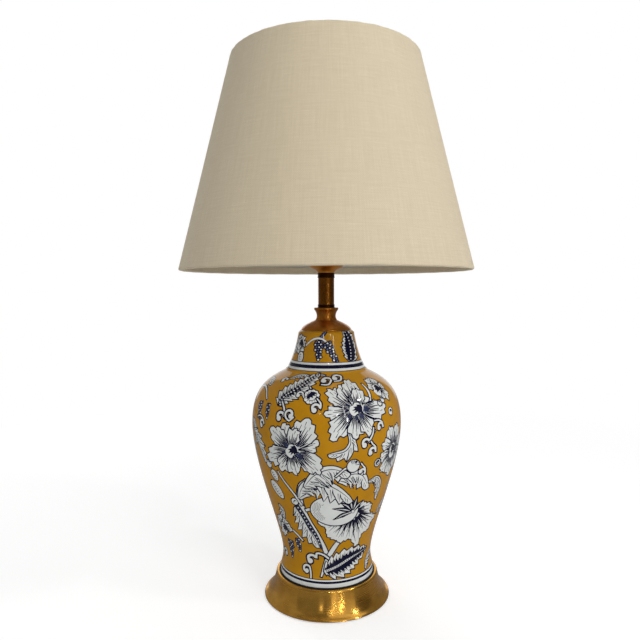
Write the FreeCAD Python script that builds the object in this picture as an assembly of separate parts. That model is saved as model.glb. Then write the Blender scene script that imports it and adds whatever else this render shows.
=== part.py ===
import FreeCAD, Part
import math
import os

V = FreeCAD.Vector

# Ginger jar table lamp. Millimetres, +Z up, front towards -Y.
# Origin: centre of the felt's underside, on the table.

# ---- clearances -----------------------------------------------------------------------
glue_gap = 0.05        # between glued or pushed-together round faces
rod_gap = 0.35         # around the threaded rod where it only passes through
seat_gap = 0.10        # under and over the loose shade carrier
thread_gap = 0.08      # shade ring on the lampholder's thread, radial
mouth_gap = 0.6        # lid spigot in the jar's mouth
notch_gap = 0.3        # hem fabric around a carrier arm

# ---- base -----------------------------------------------------------------------------
felt_thick = 1.6
felt_proud = 0.8       # how far the felt stands below the brass lip
felt_inset = 1.2
base_height = 29.2
base_foot_r = 78.0
base_lip_height = 1.9
base_lip_round = 0.9
base_neck_r = 63.4     # top of the hollow skirt
base_rim_r = 60.8      # edge of the deck
base_rim_height = 3.0
base_wall = 4.0
deck_thick = 3.0
recess_depth = 4.0
recess_gap = 1.6       # dark ring seen between the jar's foot and the brass
pad_gap = 0.1
pad_rise = 1.4         # black ring's lip above the brass
plate_thick = 1.4
plate_ledge = 3.0

# ---- cord bush in the back of the skirt ------------------------------------------------
bush_rise = 17.2       # above the base's lip
bush_bore_r = 2.8
bush_tube_r = 4.0
bush_head_r = 5.2
bush_head_thick = 2.5
bush_tail = 6.5
bush_seat_depth = 1.75 # seat below the skirt's outer face

# ---- threaded rod, nuts and washer -----------------------------------------------------
rod_r = 4.9
rod_bore_r = 3.3
rod_below = 6.0        # rod end below the bottom nut
nut_flats = 14.0
nut_thick = 3.0
washer_r = 22.0
washer_thick = 1.5

# ---- jar ------------------------------------------------------------------------------
jar_pad_thick = 1.0
jar_pad_width = 14.0
jar_height = 257.2
jar_wall = 6.0
jar_floor = 8.0
jar_foot_r = 57.9
jar_foot_height = 7.5
jar_waist_r = 54.7
jar_waist_height = 28.5
jar_belly_r = 92.1
jar_belly_height = 190.5
jar_rim_r = 48.5
jar_mouth_r = 39.0
jar_rim_height = 1.4
shoulder_cones = 9     # short cones that make up the jar's shoulder
hollow_cones = 4       # and each curve of its hollow

# ---- lid ------------------------------------------------------------------------------
lid_washer_thick = 0.6
lid_height = 45.6
lid_rim_r = 47.4
lid_top_r = 34.6
lid_wall = 5.0
lid_edge_round = 3.0
lid_spigot = 6.0
lid_spigot_wall = 4.0

# ---- cap, collar and neck ---------------------------------------------------------------
cap_r = 30.9
cap_height = 12.0
cap_top_r = 13.6
cap_wall = 1.6
collar_height = 15.2
collar_waist_r = 11.2
collar_flange_r = 15.0
collar_flange_height = 2.0
tube_r = 9.9
tube_wall = 1.2
tube_length = 42.8
ferrule_wall = 0.7
lower_ferrule_height = 3.8
upper_ferrule_height = 6.0

# ---- lampholder ------------------------------------------------------------------------
cup_foot_r = 10.5
cup_r = 22.5
cup_height = 12.0
cup_lip = 2.0
cup_wall = 1.2
cup_floor = 1.5
holder_r = 20.6
holder_wall = 3.0
holder_height = 24.5
holder_cone = 6.5
holder_foot_r = 11.5
flange_r = 23.6
flange_thick = 3.0
sleeve_r = 19.8
sleeve_wall = 3.0
sleeve_height = 28.0
sleeve_spigot = 8.0
shell_bore_r = 13.4
shell_wall = 0.4
shell_height = 22.0
shell_drop = 2.0       # shell mouth below the sleeve's mouth
insert_floor = 7.0
insert_wall = 1.8
insert_collar = 11.0
contact_thick = 0.6
contact_rise = 2.4
screw_r = 2.2
screw_offset = 9.5

# ---- shade ring and shade ---------------------------------------------------------------
shade_ring_r = 26.0
shade_ring_height = 8.5
shade_ring_flutes = 24
flute_r = 1.1
carrier_ring_r = 27.0
carrier_ring_thick = 1.6
carrier_bore_gap = 0.5
arm_count = 3
arm_r = 1.5
arm_back_angle = 90.0  # one arm points straight back
shade_bottom_r = 178.0
shade_top_r = 114.3
shade_height = 254.0
shade_hang = 26.8      # from the seat on the holder's flange down to the hem
wire_r = 1.5
fabric_thick = 0.8
lining_thick = 0.6
hem_turn_in = 6.0
hem_inset = 0.3

# ---- heights that follow ----------------------------------------------------------------
base_z = felt_proud
base_top = base_z + base_height
bush_z = base_z + bush_rise
recess_z = base_top - recess_depth
deck_under = recess_z - deck_thick
jar_z = recess_z + jar_pad_thick
jar_top = jar_z + jar_height
lid_z = jar_top + lid_washer_thick
lid_top = lid_z + lid_height
cap_top = lid_top + cap_height
collar_top = cap_top + collar_height
tube_top = collar_top + tube_length
cup_floor_z = tube_top + cup_floor
holder_z = cup_floor_z + nut_thick
flange_top = holder_z + holder_height
sleeve_top = flange_top + sleeve_height
carrier_z = flange_top + seat_gap
carrier_top = carrier_z + carrier_ring_thick
ring_z = carrier_top + seat_gap
shade_z = flange_top - shade_hang
shade_top = shade_z + shade_height
shell_z = sleeve_top - shell_drop - shell_height
insert_z = shell_z - contact_rise - insert_floor
rod_hole_r = rod_r + rod_gap
hem_r = wire_r + fabric_thick
shade_lean = (shade_bottom_r - shade_top_r) / shade_height


def bezier(*points):
    curve = Part.BezierCurve()
    curve.setPoles([V(r, 0, z) for r, z in points])
    return curve.toShape()


def turned(start, *steps):
    """Turn a closed outline about the Z axis. A step is a point (r, z) or a curve's last 3 poles."""
    edges = []
    here = start
    for step in steps + (start,):
        if isinstance(step[0], tuple):
            edges.append(bezier(here, *step))
            here = step[-1]
        else:
            edges.append(Part.makeLine(V(here[0], 0, here[1]), V(step[0], 0, step[1])))
            here = step
    face = Part.Face(Part.Wire(edges))
    return face.revolve(V(0, 0, 0), V(0, 0, 1), 360)


def coned(start, poles, count):
    """Points along a curve after its start, for a side made of short cones."""
    curve = Part.BezierCurve()
    curve.setPoles([V(r, 0, z) for r, z in (start,) + poles])
    spots = [curve.value((k + 1) / count) for k in range(count)]
    return [(spot.x, spot.z) for spot in spots]


def ring(inner_r, outer_r, z, height):
    return turned((inner_r, z), (outer_r, z), (outer_r, z + height), (inner_r, z + height))


def hex_nut(z):
    corner_r = nut_flats / math.sqrt(3)
    corners = []
    for k in range(7):
        angle = math.radians(60 * k)
        corners.append(V(corner_r * math.cos(angle), corner_r * math.sin(angle), z))
    body = Part.Face(Part.makePolygon(corners)).extrude(V(0, 0, nut_thick))
    return body.cut(Part.makeCylinder(rod_r + glue_gap, nut_thick, V(0, 0, z)))


def save(name, shape):
    shape.exportStep("parts/" + name + ".step")


# ---- base ---------------------------------------------------------------------------------
def skirt(neck_r, neck_z, foot_r, foot_z):
    """Last three poles of the hollow curve that runs from the neck down to the foot."""
    fall = neck_z - foot_z
    spread = foot_r - neck_r
    upper = (neck_r + 0.225 * spread, neck_z - 0.59 * fall)
    lower = (neck_r + 0.515 * spread, neck_z - 0.86 * fall)
    return (upper, lower, (foot_r, foot_z))


def skirt_r(z):
    """Outer radius of the skirt at a height."""
    neck_z = base_top - base_rim_height
    side = skirt(base_neck_r, neck_z, base_foot_r - base_lip_round, base_z + base_lip_height)
    line = Part.makeLine(V(0, 0, z), V(2 * base_foot_r, 0, z))
    return bezier((base_neck_r, neck_z), *side).distToShape(line)[1][0][0].x


def bush_seat_y():
    return skirt_r(bush_z) - bush_seat_depth


def base_shell():
    lip_z = base_z + base_lip_height
    neck_z = base_top - base_rim_height
    outer_foot_r = base_foot_r - base_lip_round
    plate_seat_z = felt_thick + plate_thick
    plate_hole_r = base_foot_r - base_wall + glue_gap
    ledge_r = plate_hole_r - plate_ledge
    recess_r = jar_foot_r + recess_gap
    rim_bulge = ((base_neck_r, neck_z + base_rim_height * 0.6),
                 (base_rim_r + 1.4, base_top), (base_rim_r, base_top))
    shell = turned((rod_hole_r, recess_z), (recess_r, recess_z), (recess_r, base_top),
                   (base_rim_r, base_top), tuple(reversed(rim_bulge[:2])) + ((base_neck_r, neck_z),),
                   skirt(base_neck_r, neck_z, outer_foot_r, lip_z),
                   (base_foot_r, lip_z - base_lip_round), (base_foot_r, base_z),
                   (plate_hole_r, base_z), (plate_hole_r, plate_seat_z), (ledge_r, plate_seat_z),
                   tuple(reversed(skirt(base_neck_r - base_wall, deck_under, ledge_r,
                                        plate_seat_z)[:2])) + ((base_neck_r - base_wall, deck_under),),
                   (rod_hole_r, deck_under))
    back = V(0, 1, 0)
    inside = V(0, base_neck_r - 3 * base_wall, bush_z)
    hole = Part.makeCylinder(bush_tube_r + glue_gap, 5 * base_wall, inside, back)
    seat = Part.makeCylinder(bush_head_r + glue_gap, 5 * base_wall, V(0, bush_seat_y(), bush_z), back)
    return shell.cut(hole).cut(seat)


def base_plate():
    return Part.makeCylinder(base_foot_r - base_wall, plate_thick, V(0, 0, felt_thick))


def base_felt():
    return Part.makeCylinder(base_foot_r - base_wall - felt_inset, felt_thick)


def cord_bush():
    back = V(0, 1, 0)
    seat = V(0, bush_seat_y(), bush_z)
    tail = V(0, bush_seat_y() - bush_tail, bush_z)
    head = Part.makeCylinder(bush_head_r, bush_head_thick, seat, back)
    tube = Part.makeCylinder(bush_tube_r, bush_tail, tail, back)
    bore = Part.makeCylinder(bush_bore_r, bush_tail + bush_head_thick, tail, back)
    return head.fuse(tube).removeSplitter().cut(bore)


# ---- rod and its fasteners -----------------------------------------------------------------
def bottom_washer():
    return ring(rod_hole_r, washer_r, deck_under - washer_thick, washer_thick)


def bottom_nut():
    return hex_nut(deck_under - washer_thick - nut_thick)


def threaded_rod():
    low = deck_under - washer_thick - nut_thick - rod_below
    high = holder_z + holder_wall
    return ring(rod_bore_r, rod_r, low, high - low)


# ---- jar and lid ---------------------------------------------------------------------------
def jar_curve(inset):
    """Waist, flank and shoulder of the jar, drawn in by a wall's thickness."""
    waist = (jar_waist_r - inset, jar_z + jar_waist_height)
    belly = (jar_belly_r - inset, jar_z + jar_belly_height)
    rise = belly[1] - waist[1]
    shoulder_z = jar_top - jar_rim_height - inset
    drop = shoulder_z - belly[1]
    mouth_r = jar_rim_r if inset == 0 else jar_mouth_r
    reach = belly[0] - mouth_r
    flank = ((waist[0], waist[1] + 0.179 * rise), (belly[0], belly[1] - 0.319 * rise), belly)
    shoulder = ((belly[0], belly[1] + 0.767 * drop),
                (mouth_r + 0.335 * reach, shoulder_z - 0.135 * drop), (mouth_r, shoulder_z))
    return waist, flank, shoulder


def jar():
    waist, flank, shoulder = jar_curve(0)
    hollow_waist, hollow_flank, hollow_shoulder = jar_curve(jar_wall)
    foot_z = jar_z + jar_foot_height
    foot = ((jar_foot_r, foot_z + 4.5), (jar_waist_r, waist[1] - 11.0), waist)
    floor_z = jar_z + jar_floor
    outside = turned((rod_hole_r, jar_z), (jar_foot_r, jar_z), (jar_foot_r, foot_z), foot, flank,
                     *coned(flank[-1], shoulder, shoulder_cones), (jar_rim_r, jar_top), (rod_hole_r, jar_top))
    hollow = turned((0, floor_z), (hollow_waist[0], floor_z), hollow_waist,
                    *coned(hollow_waist, hollow_flank, hollow_cones),
                    *coned(hollow_flank[-1], hollow_shoulder, hollow_cones),
                    (jar_mouth_r, jar_top + 1), (0, jar_top + 1))
    return outside.cut(hollow)


def jar_pad():
    inner_r = jar_foot_r - jar_pad_width
    outer_r = jar_foot_r + recess_gap - pad_gap
    lip_r = jar_foot_r + glue_gap
    lip_z = base_top + pad_rise
    return turned((inner_r, recess_z), (outer_r, recess_z), (outer_r, lip_z), (lip_r, lip_z),
                  (lip_r, jar_z), (inner_r, jar_z))


def lid_washer():
    return ring(jar_mouth_r + glue_gap, jar_rim_r - 1.2, jar_top, lid_washer_thick)


def lid_side(inset, low_z, high_z):
    """Bell-shaped side of the lid from its rim up to its shoulder, drawn in by a wall's thickness."""
    low_r = lid_rim_r - inset
    high_r = lid_top_r - inset
    rise = high_z - low_z
    return ((low_r - 0.6, low_z + 0.05 * rise), (high_r + 5.3, low_z + 0.27 * rise), (high_r, high_z))


def lid():
    side_z = lid_z + 1.0
    round_z = lid_top - lid_edge_round
    edge_r = lid_top_r - lid_edge_round
    crown = ((lid_top_r - 0.1, round_z + 0.55 * lid_edge_round), (edge_r + 0.45 * lid_edge_round, lid_top),
             (edge_r, lid_top))
    spigot_r = jar_mouth_r - mouth_gap
    spigot_in = spigot_r - lid_spigot_wall
    ceiling_z = lid_top - lid_wall
    side_in_r = spigot_in - lid_spigot_wall
    return turned((rod_hole_r, lid_top), (rod_hole_r, ceiling_z), (lid_top_r - 2 * lid_wall, ceiling_z),
                  ((lid_top_r - lid_wall - 2, ceiling_z - 6), (side_in_r, lid_z + 14), (side_in_r, lid_z + 2)),
                  (spigot_in, lid_z - lid_spigot), (spigot_r, lid_z - lid_spigot), (spigot_r, lid_z),
                  (lid_rim_r, lid_z), (lid_rim_r, side_z), lid_side(0, side_z, round_z), crown)


# ---- cap, collar and neck --------------------------------------------------------------------
def dome_cap():
    inner_r = cap_r - cap_wall
    inner_top = cap_top - 2 * cap_wall
    return turned((cap_r, lid_top),
                  ((cap_r - 0.4, lid_top + 0.375 * cap_height), (cap_r - 8.9, lid_top + 0.683 * cap_height),
                   (cap_top_r, cap_top)),
                  (rod_hole_r, cap_top), (rod_hole_r, inner_top), (cap_top_r - 4, inner_top),
                  ((cap_r - 13, inner_top - 0.6), (inner_r - 1, lid_top + 3.4), (inner_r, lid_top)))


def waist_collar():
    flange_z = collar_top - collar_flange_height
    return turned((cap_top_r, cap_top),
                  ((collar_waist_r, cap_top + 3.2), (collar_waist_r - 0.4, flange_z - 5.2),
                   (collar_flange_r, flange_z)),
                  (collar_flange_r, collar_top), (rod_hole_r, collar_top), (rod_hole_r, cap_top))


def neck_tube():
    return ring(tube_r - tube_wall, tube_r, collar_top, tube_length)


def ferrule(z, height):
    return ring(tube_r + glue_gap, tube_r + glue_gap + ferrule_wall, z, height)


# ---- lampholder ---------------------------------------------------------------------------------
def holder_cup():
    top = tube_top + cup_height
    lip_z = top - cup_lip
    bell = lip_z - tube_top
    outer = ((cup_foot_r + 1.0, tube_top + 0.45 * bell), (cup_r - 3.5, tube_top + 0.45 * bell),
             (cup_r, lip_z))
    inner_r = cup_r - cup_wall
    foot_in_r = cup_foot_r - cup_wall
    inner = ((inner_r - 3.3, cup_floor_z + 0.4 * bell), (foot_in_r + 1.0, cup_floor_z + 0.42 * bell),
             (foot_in_r, cup_floor_z))
    return turned((rod_hole_r, tube_top), (cup_foot_r, tube_top), outer, (cup_r, top), (inner_r, top),
                  (inner_r, lip_z), inner, (rod_hole_r, cup_floor_z))


def holder_base():
    cone_z = holder_z + holder_cone
    flange_z = flange_top - flange_thick
    hollow_r = sleeve_r - sleeve_wall / 2
    return turned((rod_r + glue_gap, holder_z), (holder_foot_r, holder_z), (holder_r, cone_z),
                  (holder_r, flange_z), (flange_r, flange_z), (flange_r, flange_top),
                  (hollow_r + glue_gap, flange_top), (hollow_r + glue_gap, cone_z + holder_wall),
                  (holder_foot_r, holder_z + holder_wall), (rod_r + glue_gap, holder_z + holder_wall))


def holder_sleeve():
    spigot_r = sleeve_r - sleeve_wall / 2
    bore_r = sleeve_r - sleeve_wall
    return turned((bore_r, flange_top - sleeve_spigot), (spigot_r, flange_top - sleeve_spigot),
                  (spigot_r, flange_top), (sleeve_r, flange_top), (sleeve_r, sleeve_top),
                  (bore_r, sleeve_top))


def holder_insert():
    floor_top = insert_z + insert_floor
    collar_in = shell_bore_r + shell_wall + glue_gap
    body = turned((0, insert_z), (collar_in + insert_wall, insert_z),
                  (collar_in + insert_wall, floor_top + insert_collar), (collar_in, floor_top + insert_collar),
                  (collar_in, floor_top), (0, floor_top))
    for place in screw_places():
        body = body.cut(Part.makeCylinder(screw_r + glue_gap, insert_floor, place))
    return body


def screw_places():
    return [V(-screw_offset, 0, insert_z), V(screw_offset, 0, insert_z)]


def terminal_screws():
    return Part.makeCompound([Part.makeCylinder(screw_r, insert_floor - 1, p) for p in screw_places()])


def centre_contact():
    """Bent strip: a flat tail on the insert's floor and a raised tongue under the bulb."""
    floor_top = insert_z + insert_floor
    low = floor_top
    high = low + contact_rise - contact_thick - 0.4
    side = [(-6, low), (-1, low), (2, high), (6, high), (6, high + contact_thick),
            (1.7, high + contact_thick), (-1.3, low + contact_thick), (-6, low + contact_thick), (-6, low)]
    face = Part.Face(Part.makePolygon([V(x, -2.5, z) for x, z in side]))
    return face.extrude(V(0, 5, 0))


def screw_shell():
    return ring(shell_bore_r, shell_bore_r + shell_wall, shell_z, shell_height)


# ---- shade ring and shade -------------------------------------------------------------------------
def shade_ring():
    body = ring(sleeve_r + thread_gap, shade_ring_r, ring_z, shade_ring_height)
    for k in range(shade_ring_flutes):
        angle = 2 * math.pi * k / shade_ring_flutes
        place = V(shade_ring_r * math.cos(angle), shade_ring_r * math.sin(angle), ring_z + 1.5)
        body = body.cut(Part.makeCylinder(flute_r, shade_ring_height, place))
    return body


def shade_outer_r(z):
    return shade_bottom_r - shade_lean * (z - shade_z)


def hem_centre(top):
    z = shade_top - hem_r if top else shade_z + hem_r
    return shade_outer_r(z) - hem_r - hem_inset, z


def arm(gap):
    """The back arm, from the carrier's ring down to the bottom wire, thicker by a gap."""
    wire_x, wire_z = hem_centre(False)
    inner = V(carrier_ring_r - 2, 0, carrier_top - arm_r - 0.2)
    outer = V(wire_x, 0, wire_z)
    along = outer.sub(inner)
    length = along.Length - wire_r - glue_gap
    return Part.makeCylinder(arm_r + gap, length, inner, along)


def arms(gap):
    shapes = []
    for k in range(arm_count):
        one = arm(gap)
        one.rotate(V(0, 0, 0), V(0, 0, 1), arm_back_angle + 360.0 * k / arm_count)
        shapes.append(one)
    return shapes


def shade_carrier():
    bore_r = sleeve_r + carrier_bore_gap
    hub = ring(bore_r, carrier_ring_r, carrier_z, carrier_ring_thick)
    return hub.multiFuse(arms(0)).removeSplitter()


def wire_ring(top):
    r, z = hem_centre(top)
    return Part.makeTorus(r, wire_r, V(0, 0, z))


def cone_layer(outer_inset, thick, low_z, high_z):
    """A layer of the shade's wall, measured inwards from the cloth's outer face."""
    low_r = shade_outer_r(low_z) - outer_inset
    high_r = shade_outer_r(high_z) - outer_inset
    return turned((low_r - thick, low_z), (low_r, low_z), (high_r, high_z), (high_r - thick, high_z))


def shade_lining():
    low_z = hem_centre(False)[1] + hem_r + glue_gap
    high_z = hem_centre(True)[1] - hem_r - glue_gap
    return cone_layer(fabric_thick + glue_gap, lining_thick, low_z, high_z)


def shade_fabric():
    """Cloth wall with a roll around each wire and a narrow strip turned in over the lining."""
    low = hem_centre(False)
    high = hem_centre(True)
    inner_face = fabric_thick + lining_thick + 2 * glue_gap
    wall = cone_layer(0, fabric_thick, low[1], high[1])
    low_strip = cone_layer(inner_face, fabric_thick, low[1] + wire_r + 0.2, low[1] + hem_r + hem_turn_in)
    high_strip = cone_layer(inner_face, fabric_thick, high[1] - hem_r - hem_turn_in, high[1] - wire_r - 0.2)
    rolls = [Part.makeTorus(r, hem_r, V(0, 0, z)) for r, z in (low, high)]
    cloth = wall.multiFuse([low_strip, high_strip] + rolls)
    for r, z in (low, high):
        cloth = cloth.cut(Part.makeTorus(r, wire_r + glue_gap / 2, V(0, 0, z)))
    for one in arms(notch_gap):
        cloth = cloth.cut(one)
    return cloth


os.makedirs("parts", exist_ok=True)
save("base_shell", base_shell())
save("base_plate", base_plate())
save("base_felt", base_felt())
save("cord_bush", cord_bush())
save("bottom_washer", bottom_washer())
save("bottom_nut", bottom_nut())
save("threaded_rod", threaded_rod())
save("jar_pad", jar_pad())
save("jar", jar())
save("lid_washer", lid_washer())
save("lid", lid())
save("dome_cap", dome_cap())
save("waist_collar", waist_collar())
save("lower_ferrule", ferrule(collar_top, lower_ferrule_height))
save("neck_tube", neck_tube())
save("upper_ferrule", ferrule(tube_top - upper_ferrule_height, upper_ferrule_height))
save("holder_cup", holder_cup())
save("holder_nut", hex_nut(cup_floor_z))
save("holder_base", holder_base())
save("holder_sleeve", holder_sleeve())
save("holder_insert", holder_insert())
save("terminal_screws", terminal_screws())
save("centre_contact", centre_contact())
save("screw_shell", screw_shell())
save("shade_ring", shade_ring())
save("shade_carrier", shade_carrier())
save("bottom_wire", wire_ring(False))
save("top_wire", wire_ring(True))
save("shade_lining", shade_lining())
save("shade_fabric", shade_fabric())
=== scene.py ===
import bmesh
import bpy
import math
import random
import numpy as np
from mathutils import Matrix, Vector
from mathutils.geometry import delaunay_2d_cdt


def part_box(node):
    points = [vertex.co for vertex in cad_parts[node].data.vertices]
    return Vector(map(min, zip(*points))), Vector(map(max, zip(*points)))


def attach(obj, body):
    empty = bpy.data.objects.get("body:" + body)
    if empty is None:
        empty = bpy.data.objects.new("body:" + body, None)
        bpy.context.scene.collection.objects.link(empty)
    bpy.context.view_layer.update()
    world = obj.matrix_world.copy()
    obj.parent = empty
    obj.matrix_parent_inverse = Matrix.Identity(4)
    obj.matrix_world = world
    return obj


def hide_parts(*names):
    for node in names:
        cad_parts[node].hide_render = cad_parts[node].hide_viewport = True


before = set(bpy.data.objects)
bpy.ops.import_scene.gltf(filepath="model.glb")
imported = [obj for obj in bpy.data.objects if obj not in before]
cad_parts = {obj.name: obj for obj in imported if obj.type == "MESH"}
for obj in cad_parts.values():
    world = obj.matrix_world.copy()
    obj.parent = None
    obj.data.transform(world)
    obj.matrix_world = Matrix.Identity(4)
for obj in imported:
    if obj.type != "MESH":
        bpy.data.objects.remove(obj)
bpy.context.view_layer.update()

# Outlines and painting are worked out in millimetres, meshes are in metres.
# Azimuth is measured from the front (-Y) towards +X.
MM = 0.001
TAU = 2 * math.pi


def low(node):
    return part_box(node)[0][2] / MM


def high(node):
    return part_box(node)[1][2] / MM


def reach(node):
    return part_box(node)[1][0] / MM


def extent(node):
    return low(node), high(node), reach(node)


# ---- the camera ----
PHOTO_SIDE = 640
PHOTO_FOCAL = 608.5            # pixels
SENSOR_WIDTH = 36.0
CAMERA_BACK = 752.6            # mm in front of the lamp's axis
CAMERA_HEIGHT = 380.1
CAMERA_PITCH = math.radians(-2.88)
CAMERA_YAW = math.radians(0.588)
CAMERA_ROLL = math.radians(-0.164)


def camera_turn():
    turn = Matrix.Rotation(CAMERA_YAW, 3, "Z") @ Matrix.Rotation(math.pi / 2 + CAMERA_PITCH, 3, "X")
    return turn @ Matrix.Rotation(CAMERA_ROLL, 3, "Z")


def make_camera():
    data = bpy.data.cameras.new("photo_camera")
    data.sensor_width = SENSOR_WIDTH
    data.lens = PHOTO_FOCAL / PHOTO_SIDE * SENSOR_WIDTH
    data.clip_start = 0.01
    camera = bpy.data.objects.new("photo_camera", data)
    place = Matrix.Translation(Vector((0, -CAMERA_BACK, CAMERA_HEIGHT)) * MM)
    camera.matrix_world = place @ camera_turn().to_4x4()
    bpy.context.scene.collection.objects.link(camera)
    bpy.context.scene.camera = camera


# ---- outlines ----
def curve(start, steps, count=24):
    """Points of a cubic curve after its start; steps are its last three poles."""
    a, b, c, d = (np.array(p, float) for p in (start, *steps))
    t = np.linspace(0, 1, count + 1)[1:, None]
    s = 1 - t
    return list(map(tuple, s ** 3 * a + 3 * s ** 2 * t * b + 3 * s * t * t * c + t ** 3 * d))


def traced(start, *steps, count=24):
    """An outline through points and curves; a curve is given as its last three poles."""
    points = [start]
    for step in steps:
        if isinstance(step[0], tuple):
            points += curve(points[-1], step, count)
        else:
            points.append(step)
    return points


SHARP_TURN = math.radians(20)
ARC_STEPS = 4
CUT_SHARE = 0.45               # most of a side that one rounded corner may take


def eased(outline, size):
    """Round the sharp corners of a closed outline."""
    soft = []
    count = len(outline)
    for k in range(count):
        before, here, after = (np.array(outline[(k + d) % count], float) for d in (-1, 0, 1))
        into, out = here - before, after - here
        into_len, out_len = np.hypot(*into), np.hypot(*out)
        turn = abs(math.atan2(into[0] * out[1] - into[1] * out[0], float(into @ out)))
        if turn < SHARP_TURN:
            soft.append(tuple(here))
            continue
        cut = min(size, CUT_SHARE * into_len, CUT_SHARE * out_len)
        first, last = here - into / into_len * cut, here + out / out_len * cut
        for t in np.linspace(0, 1, ARC_STEPS + 1):
            soft.append(tuple((1 - t) ** 2 * first + 2 * t * (1 - t) * here + t * t * last))
    return soft


# ---- meshes ----
def new_piece(name, points, faces, material, body, node=None):
    mesh = bpy.data.meshes.new(name)
    mesh.from_pydata([tuple(np.array(p) * MM) for p in points], [], faces)
    mesh.update()
    piece = bpy.data.objects.new(name, mesh)
    bpy.context.scene.collection.objects.link(piece)
    mesh.materials.append(material)
    mesh.shade_smooth()
    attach(piece, body)
    if node:
        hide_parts(node)
    return piece


def face_out(piece):
    work = bmesh.new()
    work.from_mesh(piece.data)
    bmesh.ops.recalc_face_normals(work, faces=work.faces)
    work.to_mesh(piece.data)
    work.free()


def spun(azimuth, radius, height):
    return (radius * math.sin(azimuth), -radius * math.cos(azimuth), height)


def lathe(name, outline, material, body, node=None, sides=160, ease=0.0, swell=None, closed=True):
    """Turn an outline of (radius, height) about the lamp's axis. swell(azimuth, r, z) may nudge r and z."""
    if ease:
        outline = eased(outline, ease)
    points = []
    for k in range(sides):
        azimuth = TAU * k / sides
        for r, z in outline:
            if swell:
                r, z = swell(azimuth, r, z)
            points.append(spun(azimuth, r, z))
    rows = len(outline)
    faces = []
    for k in range(sides):
        a, b = k * rows, (k + 1) % sides * rows
        for j in range(rows if closed else rows - 1):
            i = (j + 1) % rows
            faces.append((a + j, b + j, b + i, a + i))
    piece = new_piece(name, points, faces, material, body, node)
    if closed:
        face_out(piece)
    piece.modifiers.new("even_shading", "WEIGHTED_NORMAL").keep_sharp = True
    return piece


# ---- material groups ----
class Wiring:
    """Short calls for adding and joining nodes in one tree."""

    def __init__(self, tree):
        self.tree = tree

    def node(self, kind, given=(), **settings):
        """A new node; given holds sockets or plain values for its inputs, by name or in their order."""
        made = self.tree.nodes.new(kind)
        for key, value in settings.items():
            setattr(made, key, value)
        for key, value in given.items() if isinstance(given, dict) else enumerate(given):
            self.put(made.inputs[key], value)
        return made

    def join(self, source, target):
        self.tree.links.new(source, target)

    def put(self, target, value):
        if isinstance(value, bpy.types.NodeSocket):
            self.join(value, target)
        else:
            target.default_value = value

    def place(self):
        return self.node("ShaderNodeTexCoord").outputs["Object"]

    def math(self, operation, *values, clamp=False):
        return self.node("ShaderNodeMath", values, operation=operation, use_clamp=clamp).outputs[0]

    def plus(self, a, b):
        return self.math("ADD", a, b)

    def less(self, a, b):
        return self.math("SUBTRACT", a, b)

    def times(self, a, b, clamp=False):
        return self.math("MULTIPLY", a, b, clamp=clamp)

    def distance(self, x, y):
        return self.math("SQRT", self.plus(self.times(x, x), self.times(y, y)))

    def noise(self, vector, scale, detail=3.0, roughness=0.5, distortion=0.0):
        given = {"Vector": vector, "Scale": scale, "Detail": detail, "Roughness": roughness,
                 "Distortion": distortion}
        return self.node("ShaderNodeTexNoise", given).outputs["Fac"]

    def stretched_noise(self, vector, scale, detail):
        stretched = self.node("ShaderNodeMapping", {"Vector": vector, "Scale": (*scale, 1.0)})
        return self.noise(stretched.outputs[0], 1.0, detail)

    def spread(self, value, from_low, from_high, to_low=0.0, to_high=1.0):
        given = (value, from_low, from_high, to_low, to_high)
        return self.node("ShaderNodeMapRange", given, clamp=True).outputs[0]

    def mix(self, factor, a, b):
        given = {"Factor": factor, "A": a, "B": b}
        return self.node("ShaderNodeMix", given, data_type="RGBA").outputs["Result"]

    def parts(self, vector):
        return self.node("ShaderNodeSeparateXYZ", (vector,)).outputs


def new_group(name, inputs, *outputs):
    """A node group; its inputs are names with their usual values."""
    tree = bpy.data.node_groups.new(name, "ShaderNodeTree")
    for key, value in inputs.items():
        socket = tree.interface.new_socket(key, in_out="INPUT", socket_type="NodeSocketFloat")
        socket.default_value = value
    for key in outputs:
        tree.interface.new_socket(key, in_out="OUTPUT", socket_type="NodeSocketFloat")
    w = Wiring(tree)
    return w, w.node("NodeGroupInput").outputs, w.node("NodeGroupOutput").inputs


def turned_grain():
    """Fine rings that a lathe or a rotating brush leaves, broken up around the turn."""
    w, given, out = new_group("turned_grain", {"Lines per metre": 3000.0}, "Height", "Streak")
    x, y, z = w.parts(w.place())
    around = w.times(w.math("ARCTAN2", y, x), 0.0012)
    ring = w.node("ShaderNodeCombineXYZ", (w.plus(w.distance(x, y), around), z, 0.0)).outputs[0]
    fine = w.noise(ring, given["Lines per metre"], 2.0)
    coarse = w.noise(ring, w.times(given["Lines per metre"], 0.17), 3.0)
    w.join(w.plus(w.times(fine, 0.6), w.times(coarse, 0.4)), out["Height"])
    w.join(coarse, out["Streak"])
    return w.tree


def patches():
    """Soft uneven patches: tarnish, handling or firing tone."""
    w, given, out = new_group("patches", {"Size": 0.03, "Cover": 0.5}, "Mask")
    cloud = w.noise(w.place(), w.math("DIVIDE", 1.0, given["Size"]), 5.0, 0.62, 0.4)
    edge = w.less(1.0, given["Cover"])
    w.join(w.spread(cloud, w.less(edge, 0.16), w.plus(edge, 0.16)), out["Mask"])
    return w.tree


def edge_rub_and_crease_shade():
    """Bright rubbed edges, and painted shade that darkens creases, both from the surface's own curvature."""
    w, given, out = new_group("edge_rub_and_crease_shade", {"Sharpness": 12.0}, "Edge", "Crease shade")
    bend = w.less(w.node("ShaderNodeNewGeometry").outputs["Pointiness"], 0.5)
    w.join(w.times(bend, given["Sharpness"], clamp=True), out["Edge"])
    w.join(w.times(w.times(bend, -1.0), given["Sharpness"], clamp=True), out["Crease shade"])
    return w.tree


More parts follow.
